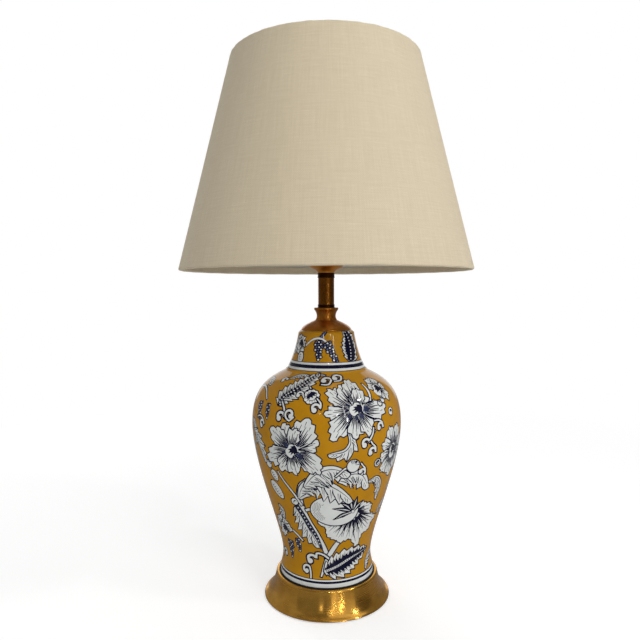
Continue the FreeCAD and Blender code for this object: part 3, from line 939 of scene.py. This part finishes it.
class Skin:
    """The painted outer face of a turned piece, laid flat as (azimuth, climb up its side)."""

    def __init__(self, outline):
        self.r, self.z = np.array(outline).T
        self.climb = np.r_[0, np.cumsum(np.hypot(np.diff(self.r), np.diff(self.z)))]
        self.height = self.climb[-1]
        self.middle = 0            # azimuth in degrees that motifs are placed from
        self.marks = []

    def add(self, marks, azimuth, climb, turn=0.0, size=1.0, flip=False):
        """Lay a motif on the skin, its middle at an azimuth in degrees and a climb in mm."""
        for glaze, shape in moved(marks, turn, size, flip):
            wide = np.interp(climb + shape[:, 1] / 2, self.climb, self.r)
            across = math.radians(self.middle + azimuth) + shape[:, 0] / wide
            up = np.clip(climb + shape[:, 1], EDGE_GAP, self.height - EDGE_GAP)
            for turns in (-1, 0, 1):
                x = (across + turns * TAU) * CHART_R
                if x.max() > -CHART_EDGE and x.min() < CHART_EDGE:
                    self.marks.append((glaze, np.column_stack([x, up])))

    def band(self, glaze, start, end):
        x = np.linspace(-CHART_EDGE, CHART_EDGE, BAND_POINTS)
        edges = [np.column_stack([x, np.full_like(x, y)]) for y in (start, end)]
        self.marks.append((glaze, np.vstack([edges[0], edges[1][::-1]])))

    def cut(self):
        """Triangles of the chart, split along every painted edge."""
        rows = int(self.height / GRID) + 1
        columns = int(2 * CHART_EDGE / GRID)
        xs, ys = np.linspace(-CHART_EDGE, CHART_EDGE, columns), np.linspace(0, self.height, rows)
        half = 0.5 * (xs[1] - xs[0])
        points = [Vector((x + (half if j % 2 and 0 < i < columns - 1 and j < rows - 1 else 0), y))
                  for j, y in enumerate(ys) for i, x in enumerate(xs)]
        edges = []
        for j in range(rows - 1):
            edges += [(j * columns, (j + 1) * columns), ((j + 1) * columns - 1, (j + 2) * columns - 1)]
        for i in range(columns - 1):
            edges += [(i, i + 1), ((rows - 1) * columns + i, (rows - 1) * columns + i + 1)]
        for _, shape in self.marks:
            first, count = len(points), len(shape)
            points += [Vector(p) for p in shape.tolist()]
            edges += [(first + k, first + (k + 1) % count) for k in range(count)]
        found = delaunay_2d_cdt(points, edges, [], 0, CUT_TOLERANCE, False)
        points, triangles = np.array([tuple(p) for p in found[0]]), np.array(found[2])
        inside = np.abs(points[triangles].mean(axis=1)[:, 0]) < CHART_EDGE + 1e-3
        return points, triangles[inside]

    def glazes(self, points, triangles):
        """The topmost glaze over each triangle's middle."""
        middle = points[triangles].mean(axis=1)
        order = np.argsort(middle[:, 0])
        sorted_x = middle[order, 0]
        top = np.full(len(triangles), GROUND)
        for glaze, shape in self.marks:
            (x0, y0), (x1, y1) = shape.min(0), shape.max(0)
            near = order[np.searchsorted(sorted_x, x0):np.searchsorted(sorted_x, x1)]
            near = near[(middle[near, 1] > y0) & (middle[near, 1] < y1)]
            if len(near):
                top[near[winds_round(shape, middle[near])]] = glaze
        return top

    def turned(self, azimuth, radius, height):
        return np.column_stack([radius * np.sin(azimuth), -radius * np.cos(azimuth), height])

    def normal(self, climb):
        """The face's direction: outwards and upwards."""
        ahead, behind = climb + SLOPE_STEP, climb - SLOPE_STEP
        slopes = [np.interp(ahead, self.climb, side) - np.interp(behind, self.climb, side)
                  for side in (self.z, self.r)]
        rise, widening = unit(np.column_stack(slopes)).T
        return rise, -widening

    def pieces(self, of):
        """One mesh for each glaze of the painting."""
        points, triangles = self.cut()
        top = self.glazes(points, triangles)
        azimuth, climb = points[:, 0] / CHART_R, points[:, 1]
        r, z = (np.interp(climb, self.climb, side) for side in (self.r, self.z))
        place = self.turned(azimuth, r, z)
        facing = self.turned(azimuth, *self.normal(climb))
        for glaze, name in enumerate(("ground", "white", "wash", "navy")):
            used, faces = np.unique(triangles[top == glaze], return_inverse=True)
            piece = new_piece(f"{of}_{name}", place[used], faces.reshape(-1, 3).tolist(), GLAZES[glaze],
                              "lamp")
            piece.data.normals_split_custom_set_from_vertices(facing[used].tolist())


def winds_round(shape, spots):
    """Which spots a closed shape goes round at least once."""
    x, y = spots.T
    winding = np.zeros(len(spots), int)
    for (ax, ay), (bx, by) in zip(shape, np.roll(shape, -1, 0)):
        side = (bx - ax) * (y - ay) - (x - ax) * (by - ay)
        winding += (ay <= y) & (by > y) & (side > 0)
        winding -= (ay > y) & (by <= y) & (side < 0)
    return winding != 0


def painted(of, outline, spray, *bands):
    """A skin with the same spray at front and back, and bands: glaze, lower edge, upper edge."""
    skin = Skin(outline)
    for skin.middle in FRONT_AND_BACK:
        spray(skin.add)
    for band in bands:
        skin.band(*band)
    skin.pieces(of)


# ---- brass base ----
BASE_LOW, BASE_TOP, BASE_FOOT = extent("base_shell")
BASE_NECK = 63.4
BASE_RIM = 60.8
RECESS = 59.5                  # wall of the seat that the jar stands in
RECESS_DEPTH = 4.0
DECK_DEPTH = 7.0               # from the rim down to the deck's underside
SKIRT_WALL = 4.0
ROD_HOLE = 5.25
PLATE_HOLE = 74.05
LEDGE = 71.05                  # inner edge of the step that the plate rests against
PLATE_SEAT = high("base_plate")


def skirt(neck_r, neck_z, foot_r, foot_z):
    fall = neck_z - foot_z
    spread = foot_r - neck_r
    return ((neck_r + 0.225 * spread, neck_z - 0.59 * fall),
            (neck_r + 0.515 * spread, neck_z - 0.86 * fall), (foot_r, foot_z))


def make_base():
    neck_z, seat_z, deck_under = BASE_TOP - 3.0, BASE_TOP - RECESS_DEPTH, BASE_TOP - DECK_DEPTH
    inner_neck = (BASE_NECK - SKIRT_WALL, deck_under)
    inside = curve(inner_neck, skirt(*inner_neck, LEDGE, PLATE_SEAT))[:-1]
    outline = traced((ROD_HOLE, seat_z), (RECESS, seat_z), (RECESS, BASE_TOP), (BASE_RIM, BASE_TOP),
                     ((BASE_RIM + 1.4, BASE_TOP), (BASE_NECK, neck_z + 1.8), (BASE_NECK, neck_z)),
                     skirt(BASE_NECK, neck_z, BASE_FOOT - 0.9, BASE_LOW + 1.9),
                     (BASE_FOOT, BASE_LOW + 1.0), (BASE_FOOT, BASE_LOW), (PLATE_HOLE, BASE_LOW),
                     (PLATE_HOLE, PLATE_SEAT), (LEDGE, PLATE_SEAT))
    outline += [*inside[::-1], inner_neck, (ROD_HOLE, deck_under)]
    lathe("base_brass", outline, BASE_BRASS, "lamp", "base_shell", sides=256, ease=0.5)


# ---- painting: the jar ----
BLOSSOM_RIGHT = [(45, 21, 15), (188, 37, 19), (222, 43, 25), (262, 32, 21), (300, 34, 19), (356, 41, 23),
                 (146, 39, 24), (116, 34, 22), (92, 39, 27), (72, 25, 17)]
BLOSSOM_LEFT = [(112, 30, 20), (22, 32, 22), (57, 41, 29), (143, 36, 22), (202, 39, 24), (234, 31, 19),
                (328, 39, 28), (268, 28, 20), (82, 25, 16)]


def jar_spray(put):
    """One whole spray of the jar's painting: each motif with its azimuth in degrees and climb in mm."""
    # low stems, scroll and leaf
    put(curl(1.05, 250, [(-3.5, -15), (0.5, -10), (3.5, -4)]), -26, 24, turn=35)
    put(drawn([(6, 103), (-1, 94), (-3, 74), (2, 52), (12, 28), (19, 8), (20, -2)], 3.2, 5.4, 5.0, 4.2, 4.5),
        -20.5, 41)
    put(drawn([(20, 22), (8, 2), (1, -14), (-4, -29)], 3.6, 5.0, 4.6, 1.4), -2.5, 46)
    put(curl(1.35, 215, [(17, -8), (12, 1), (7, 4)]), -19, 37, turn=20)
    put(rib_leaf([(0, 0), (14, 5), (34, 14), (58, 19)], 32, core=0.5, teeth=4.6, pitch=8.5), -3, 23)
    # beaded stem and its plumes
    put(plume([(-1, -6), (5, -18), (11, -32), (17, -45), (24, -58)], 15, 6), -28.7, 111.7)
    put(beaded_stem([(0, 0), (7, -13), (14, -28), (22, -44), (27, -60)]), -28.7, 111.7)
    put(inked(disc(0, 2, 4.2, 16)) + stroke([(-2, 0), (0, 3.4), (2.6, 2.4)], 0.8, 1.4, 0.6), -28.7, 111.7)
    # buds and pod on the left
    put(drawn([(12, -10), (4, 4), (-8, 20), (-14, 30)], 2.4, 2.0, 1.4), -31, 120)
    put(bud(25, 13), -52, 134, turn=-52)
    put(bud(14, 10, 4), -48, 149, turn=-58)
    put(berry(4.6), -50, 156)
    # pomegranate
    put(drawn([(0, 0), (6, 2), (12, 1)], 3.0, 3.4), -19, 104)
    put(pomegranate(), 0.3, 103.4)
    # plumes over the pomegranate
    put(plume([(-4, -8), (2, 6), (16, 14), (34, 8), (50, -4), (58, -12)], 21, 8), -20.4, 127)
    put(plume([(-4, 0), (10, 5), (24, 3), (36, -14)], 19, 6), 11, 144)
    put(plume([(-2, -4), (12, 11), (30, 18), (50, 12)], 20, 7), -16.2, 139)
    put(plume([(0, 0), (12, 2), (20, -8), (19, -27)], 9, 5), 35.5, 138)
    put(drawn([(-20, -12), (-10, -3), (-4, -1)], 1.4, 2.0), 19.9, 161.2)
    put(curl(1.0, 200, [(-9, 7), (-4, 6), (1, 5)]), 27.5, 152.5, turn=-40)
    put(berry(7.3), 19.9, 161.2)
    # two blossoms
    put(blossom(BLOSSOM_LEFT, 20), -25.0, 178.5)
    put(plume([(0, 5), (3, -6), (-4, -16), (-23, -19)], -11, 5), 15.6, 194.4)
    put(drawn([(-8, -14), (-4, 0), (-6, 13)], 1.6, 2.6, 1.4), 41, 244)
    put(blossom(BLOSSOM_RIGHT, 0), 22.9, 225.6)
    # shoulder: long leaf, daisy, curls
    put(plume([(10, 3), (3, 4), (-5, 1), (-12, -9)], -6, 3), -12, 273)
    put(rib_leaf([(-35, -50), (-28, -38), (-15, -25), (2, 2)], 22, core=0.26, bead=1.0, bead_gap=3.4,
                 rib=NAVY, teeth=4.2, pitch=7.5), -11.2, 278)
    put(curl(1.25, 230, [(-1, 14), (3, 8), (5, 3)]), -35.5, 215.5)
    put(curl(1.15, 230, [(-5, -2), (0, -6), (4, -3)]), -27.5, 219, flip=True)
    put(stroke([(-7, 16), (-4, 10)], 1.6, 1.6) + daisy(9.3), -12, 241.2)
    put(curl(0.9, 220, [(7, -4), (5, -1)]), -22.5, 243)
    put(curl(1.15, 240, [(1, 10), (5, 5)]), -8.2, 227.5)
    put(curl(1.3, 190, [(-5, -5), (1, -6)]), -0.5, 266, turn=10)
    put(curl(1.25, 190, [(-5, -4), (1, -5)]), 12, 271, turn=20)
    # right flank: edge-on flower, berries, curls, hanging blossom
    put(blossom([(100, 19, 14), (150, 14, 11), (60, 19, 13), (10, 17, 13), (320, 20, 14), (280, 15, 11)], 40),
        50, 246, size=0.95)
    put(berry(3.0), 45, 229)
    put(berry(3.0), 49.5, 232)
    put(curl(0.9, 300), 55.8, 216.5)
    put(curl(1.05, 240, [(-10, 4), (-4, 6), (2, 5)]), 41.5, 203, turn=-20)
    put(curl(1.2, 240, [(9, 14), (8, 8), (5, 3)]), 28.5, 186.5)
    put(curl(1.15, 230, [(-5, 10), (-1, 7), (3, 5)]), 34.5, 175.5, turn=-15)
    put(blossom([(70, 30, 22), (110, 31, 20), (20, 28, 20), (340, 27, 19), (150, 25, 17), (195, 24, 17),
                 (235, 29, 19), (275, 31, 22), (310, 28, 20)], 60), 59, 170)
    put(daisy(4.6), 41.5, 160)
    put(plume([(0, 0), (12, 6), (24, -2), (34, -22)], 11, 6), 68, 118)
    put(plume([(0, 0), (6, 10), (13, 17)], 7, 4), 59, 88)
    put(plume([(0, 0), (4, 8), (12, 15), (24, 19)], 8, 4), 56, 16)
    put(curl(1.1, 250, [(-6, -10), (0, -8), (4, -3)]), 84, 96)
    # left flank: drooping bunches, flower and grapes
    put(drawn([(-34, 10), (-20, 14), (-4, 10), (8, 0)], 1.6, 2.4, 1.6), -60, 232)
    put(grapes(22, 11), -62, 228, turn=-80)
    put(grapes(18, 9), -50, 228, turn=-84)
    put(curl(1.05, 250, [(-12, 6), (-5, 8), (1, 6)]), -55, 203)
    put(plume([(0, 0), (10, -4), (17, -16), (14, -28)], 9, 5), -74, 204)
    put(plume([(0, 0), (-9, 8), (-20, 10)], -8, 4), -62, 250)
    put(curl(0.9, 240, [(8, 2), (5, 4)]), -50, 262)
    put(plume([(0, 0), (10, 8), (22, 9)], 7, 4), -44, 266)
    put(plume([(-3, 8), (2, 2), (0, -9), (-3, -16)], 8, 4), -48, 95)
    put(drawn([(-20, 6), (-8, 10), (6, 4), (16, -6)], 1.8, 2.6, 1.8), -42, 66)
    put(blossom([(160, 15, 12), (110, 17, 13), (60, 15, 12), (230, 13, 11), (20, 14, 11)], 30), -52, 70)
    put(grapes(26, 11), -47, 56, turn=-94)
    put(grapes(20, 9), -35, 62, turn=-84)
    put(curl(1.0, 250, [(9, -8), (8, -2), (5, 2)]), -64, 34, flip=True)
    put(plume([(-8, 14), (2, 8), (9, -4), (15, -22)], -11, 5), -64, 178)
    put(blossom([(30, 28, 20), (75, 30, 21), (120, 27, 20), (165, 26, 19), (215, 28, 20), (255, 31, 22),
                 (300, 29, 20), (345, 26, 18)], 20), -88, 162)


def lid_spray(put):
    put(drawn([(8, 10), (4, 5), (0, 1)], 1.8, 1.8, 1.6, glaze=WASH), -14, 37.5)
    put(drawn([(-17, -8), (-9, -1), (0, 1.5), (8, -2), (16, -9)], 1.4, 2.2, 2.4, 1.4, ink=0.55), -14, 38)
    put(grapes(25, 12), -15, 37, turn=-86)
    put(grapes(27, 12), 0, 35, turn=-64)
    put(blossom([(110, 13, 10), (60, 12, 9), (160, 12, 9), (210, 13, 10), (0, 11, 9), (300, 14, 10),
                 (255, 14, 10)], 30), -57, 32, size=0.85)
    put(bud(14, 9, 4), -50, 22, turn=-80)
    put(rib_leaf([(-2, -21), (2, -8), (2, 6), (-4, 19)], 27, core=0.62, bead=0.9, bead_gap=3.8, rib=NAVY,
                 teeth=3.0), 45, 31)
    put(plume([(-6, 10), (2, 6), (8, -4), (8, -14)], 8, 4), 85, 34)
    put(curl(0.8, 240, [(-5, 3), (0, 5)]), 108, 22)


# ---- jar and lid ----
JAR_LOW, JAR_TOP, JAR_BELLY_R = extent("jar")
JAR_FOOT_R, JAR_WAIST_R, JAR_RIM_R = 57.9, 54.7, 48.5
WAIST_Z, BELLY_Z, RIM_Z = JAR_LOW + 28.5, JAR_LOW + 190.5, JAR_TOP - 1.4
WALL = 6.0
JAR_FLOOR = 8.0
MOUTH_R = 39.0
SPIGOT, LID_TOP, LID_RIM_R = extent("lid")
LID_RIM = SPIGOT + 6.0
LID_TOP_R = 34.6
SPIGOT_R = 38.4
LID_SOFT = 3.0                 # rounding of the lid's top edge


def jar_curves(waist_r, belly_r, rim_r, rim_z):
    """From waist to belly and from belly to rim."""
    rise, drop, draw = BELLY_Z - WAIST_Z, rim_z - BELLY_Z, belly_r - rim_r
    return (((waist_r, WAIST_Z + 0.179 * rise), (belly_r, BELLY_Z - 0.319 * rise), (belly_r, BELLY_Z)),
            ((belly_r, BELLY_Z + 0.767 * drop), (rim_r + 0.335 * draw, rim_z - 0.135 * drop), (rim_r, rim_z)))


def make_jar():
    foot_z, floor_z = JAR_LOW + 7.5, JAR_LOW + JAR_FLOOR
    outer = traced((JAR_FOOT_R, JAR_LOW), (JAR_FOOT_R, foot_z),
                   ((JAR_FOOT_R, foot_z + 4.5), (JAR_WAIST_R, WAIST_Z - 11.0), (JAR_WAIST_R, WAIST_Z)),
                   *jar_curves(JAR_WAIST_R, JAR_BELLY_R, JAR_RIM_R, RIM_Z), (JAR_RIM_R, JAR_TOP))
    painted("jar", outer, jar_spray, (NAVY, 13.2, 14.1), (WHITE, 0.05, 13.2), (NAVY, 9.0, 11.6))
    waist_r = JAR_WAIST_R - WALL
    inside = traced((JAR_FOOT_R, JAR_LOW), (ROD_HOLE, JAR_LOW), (ROD_HOLE, floor_z),
                    (waist_r, floor_z), (waist_r, WAIST_Z),
                    *jar_curves(waist_r, JAR_BELLY_R - WALL, MOUTH_R, RIM_Z - WALL),
                    (MOUTH_R, JAR_TOP), (JAR_RIM_R, JAR_TOP), count=4)
    lathe("jar_inside", inside, BISCUIT, "lamp", "jar", closed=False)


def make_lid():
    side_z, shoulder = LID_RIM + 1.0, LID_TOP - LID_SOFT
    rise = shoulder - side_z
    outer = traced((LID_RIM_R, LID_RIM), (LID_RIM_R, side_z),
                   ((LID_RIM_R - 0.6, side_z + 0.05 * rise), (LID_TOP_R + 5.3, side_z + 0.27 * rise),
                    (LID_TOP_R, shoulder)),
                   ((LID_TOP_R - 0.1, LID_TOP - 0.45 * LID_SOFT), (LID_TOP_R - 0.55 * LID_SOFT, LID_TOP),
                    (LID_TOP_R - LID_SOFT, LID_TOP)))
    painted("lid", outer, lid_spray, (NAVY, 9.9, 10.7), (WHITE, 0.05, 9.9), (NAVY, 3.0, 7.3))
    inside = traced((LID_TOP_R - LID_SOFT, LID_TOP), (ROD_HOLE, LID_TOP), (ROD_HOLE, LID_TOP - 5),
                    (24.6, LID_TOP - 5), ((27.6, LID_TOP - 11), (30.4, LID_RIM + 14), (30.4, LID_RIM + 2)),
                    (34.4, SPIGOT), (SPIGOT_R, SPIGOT), (SPIGOT_R, LID_RIM), (LID_RIM_R, LID_RIM))
    lathe("lid_inside", inside, BISCUIT, "lamp", "lid", closed=False)


# ---- cap, collar, tube, ferrules and cup ----
COLLAR_FOOT_R, COLLAR_R = 13.6, 15.0
FLANGE = 2.0


def neck_part(name, outline, finish, node, ease):
    lathe(name, outline, finish, "lamp", node, ease=ease)


def make_neck():
    lid_top, cap_top, cap_r = extent("dome_cap")
    rise = cap_top - lid_top
    cap = traced((cap_r, lid_top),
                 ((cap_r - 0.4, lid_top + 0.375 * rise), (cap_r - 8.9, lid_top + 0.683 * rise),
                  (COLLAR_FOOT_R, cap_top)),
                 (ROD_HOLE, cap_top), (ROD_HOLE, cap_top - 3.2), (9.6, cap_top - 3.2),
                 ((cap_r - 13, cap_top - 3.8), (cap_r - 2.6, lid_top + 3.4), (cap_r - 1.6, lid_top)))
    neck_part("cap_brass", cap, CAP_BRASS, "dome_cap", 0.35)
    top = high("waist_collar")
    flange = top - FLANGE
    collar = traced((COLLAR_FOOT_R, cap_top),
                    ((11.2, cap_top + 3.2), (10.8, flange - 5.2), (COLLAR_R, flange)),
                    (COLLAR_R, top), (ROD_HOLE, top), (ROD_HOLE, cap_top))
    neck_part("collar_brass", collar, CAP_BRASS, "waist_collar", 0.45)
    _, tube_top, tube_r = extent("neck_tube")
    tube = [(tube_r - 1.2, top), (tube_r, top), (tube_r, tube_top), (tube_r - 1.2, tube_top)]
    neck_part("tube_brass", tube, NECK_BRASS, "neck_tube", 0.2)
    for node in ("lower_ferrule", "upper_ferrule"):
        z0, z1, r = extent(node)
        ring = [(r - 0.7, z0), (r, z0), (r, z0 + 0.9), (r - 0.35, z0 + 1.3),
                (r - 0.35, z1 - 1.3), (r, z1 - 0.9), (r, z1), (r - 0.7, z1)]
        neck_part(node + "_brass", ring, FERRULE_BRASS, node, 0.25)
    cup_low, cup_top, cup_r = extent("holder_cup")
    lip, floor, thin_r = cup_top - FLANGE, cup_low + 1.5, cup_r - 1.2
    bell = lip - cup_low
    cup = traced((ROD_HOLE, cup_low), (10.5, cup_low),
                 ((11.5, cup_low + 0.45 * bell), (cup_r - 3.5, cup_low + 0.45 * bell), (cup_r, lip)),
                 (cup_r, cup_top), (thin_r, cup_top), (thin_r, lip),
                 ((cup_r - 4.5, floor + 0.4 * bell), (10.3, floor + 0.42 * bell), (9.3, floor)),
                 (ROD_HOLE, floor))
    neck_part("cup_brass", cup, CUP_BRASS, "holder_cup", 0.4)


# ---- shade ----
SHADE_LOW, SHADE_TOP = low("shade_fabric"), high("shade_fabric")
SHADE_BOTTOM_R, SHADE_TOP_R = 178.0, 114.3
SHADE_LEAN = (SHADE_BOTTOM_R - SHADE_TOP_R) / (SHADE_TOP - SHADE_LOW)
SHADE_SIDES = 288
CLOTH = 0.8
ROLL = 2.3                     # hem roll around a wire
TURN_IN = 6.0
LINING_THICK = 0.6
HEM_REACH = 9.0                # mm over which the hem's unevenness fades


def shade_r(z):
    return SHADE_BOTTOM_R - SHADE_LEAN * (z - SHADE_LOW)


def hem_arc(z, start, end):
    """The roll of cloth over or under a wire."""
    centre_r = shade_r(z) - ROLL - 0.15
    return [(centre_r + (ROLL + 0.15) * math.cos(a), z + ROLL * math.sin(a))
            for a in np.linspace(start, end, 9)]


def hem_strip(edge, way):
    """The turned-in strip inside the shade, from its fold to its cut edge."""
    fold, cut = edge + way * (ROLL + 1.5), edge + way * (ROLL + TURN_IN)
    inner = 2 * CLOTH + 0.9
    return [(shade_r(fold) - inner - CLOTH, fold), (shade_r(cut) - inner, cut),
            (shade_r(cut) - inner + CLOTH, cut - way * 0.3)]


def cover_outline():
    """Outer wall up, over the top wire, a turned-in strip, then back down the inner face."""
    rows = 40
    low_z, high_z = SHADE_LOW + ROLL, SHADE_TOP - ROLL
    wall = [(shade_r(z), z) for z in np.linspace(low_z, high_z, rows)]
    back = [(shade_r(z) - CLOTH, z) for z in np.linspace(high_z - ROLL, low_z + ROLL, rows)]
    return [*wall, *hem_arc(high_z, 0, math.pi)[1:], *hem_strip(high_z, -1), *back,
            *hem_strip(low_z, 1)[::-1], *hem_arc(low_z, -math.pi, 0)[:-1]]


def cloth_swell(azimuth, r, z):
    """Hand-stretched cloth: a slightly uneven wall and a softly uneven hem."""
    near_hem = sum(math.exp(-((z - edge) / HEM_REACH) ** 2) for edge in (SHADE_LOW, SHADE_TOP))
    wave = 0.25 * math.sin(3 * azimuth + 0.6) + 0.18 * math.sin(7 * azimuth + z / 60)
    wave += 0.1 * math.sin(17 * azimuth)
    ripple = 0.16 * math.sin(41 * azimuth + 1.3) + 0.12 * math.sin(67 * azimuth)
    return r + wave * 0.7 + ripple * near_hem, z + 0.12 * near_hem * math.sin(29 * azimuth)


def add_cloth_uv(piece):
    """UVs in metres: around the shade at its middle radius, and up its slope."""
    layer = piece.data.uv_layers.new(name="cloth")
    middle = (SHADE_BOTTOM_R + SHADE_TOP_R) / 2
    slope = math.hypot(1, SHADE_LEAN)
    for face in piece.data.polygons:
        corners = [piece.data.vertices[v].co for v in face.vertices]
        azimuths = [math.atan2(c.x, -c.y) for c in corners]
        if max(azimuths) - min(azimuths) > math.pi:
            azimuths = [a + TAU if a < 0 else a for a in azimuths]
        for k, a, c in zip(face.loop_indices, azimuths, corners):
            layer.data[k].uv = (a * middle * MM, c.z * slope)


def make_shade():
    cover = lathe("linen_cover", cover_outline(), LINEN, "shade", "shade_fabric",
                  sides=SHADE_SIDES, swell=cloth_swell)
    add_cloth_uv(cover)
    low_z, high_z = low("shade_lining"), high("shade_lining")
    outer = CLOTH + 0.1
    inner = outer + LINING_THICK
    sheet = [(shade_r(low_z) - inner, low_z), (shade_r(low_z) - outer, low_z),
             (shade_r(high_z) - outer, high_z), (shade_r(high_z) - inner, high_z)]
    lathe("lining", sheet, LINING, "shade", "shade_lining", sides=SHADE_SIDES)


make_base()
make_jar()
make_lid()
make_neck()
make_shade()

# ---- small parts that keep their CAD shape ----
# name, fresh and worn colour, roughness, metallic; then the nodes of that finish
SMALL_PARTS = (
    (("white_wire", (214, 212, 205), (190, 186, 176), 0.35), "shade_carrier", "bottom_wire", "top_wire"),
    # The jar's pad and the lid's washer are black so that they show as dark lines in the gaps at the jar's
    # foot and under the lid: painted shade in those gaps. The cord bush is plain black rubber.
    (("black_rubber", (9, 8, 8), (20, 18, 17), 0.8), "cord_bush", "jar_pad", "lid_washer"),
    (("dark_phenolic", (30, 24, 20), (60, 50, 42), 0.28), "holder_base", "holder_sleeve", "shade_ring"),
    (("holder_porcelain", (222, 220, 212), (196, 190, 178), 0.45), "holder_insert"),
    (("plated_contact", (206, 198, 176), (170, 160, 132), 0.25, 1.0), "centre_contact", "screw_shell"),
    (("zinc_steel", (172, 174, 172), (130, 130, 126), 0.35, 1.0), "base_plate", "bottom_washer",
     "threaded_rod"),
    (("machined_brass", (196, 160, 92), (150, 116, 58), 0.25, 1.0), "bottom_nut", "holder_nut",
     "terminal_screws"),
)


def refinish(finish, nodes):
    for node in nodes:
        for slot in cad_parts[node].material_slots:
            slot.material = finish


for made_of, *nodes in SMALL_PARTS:
    refinish(plain_finish(*made_of), nodes)
refinish(felt(), ["base_felt"])
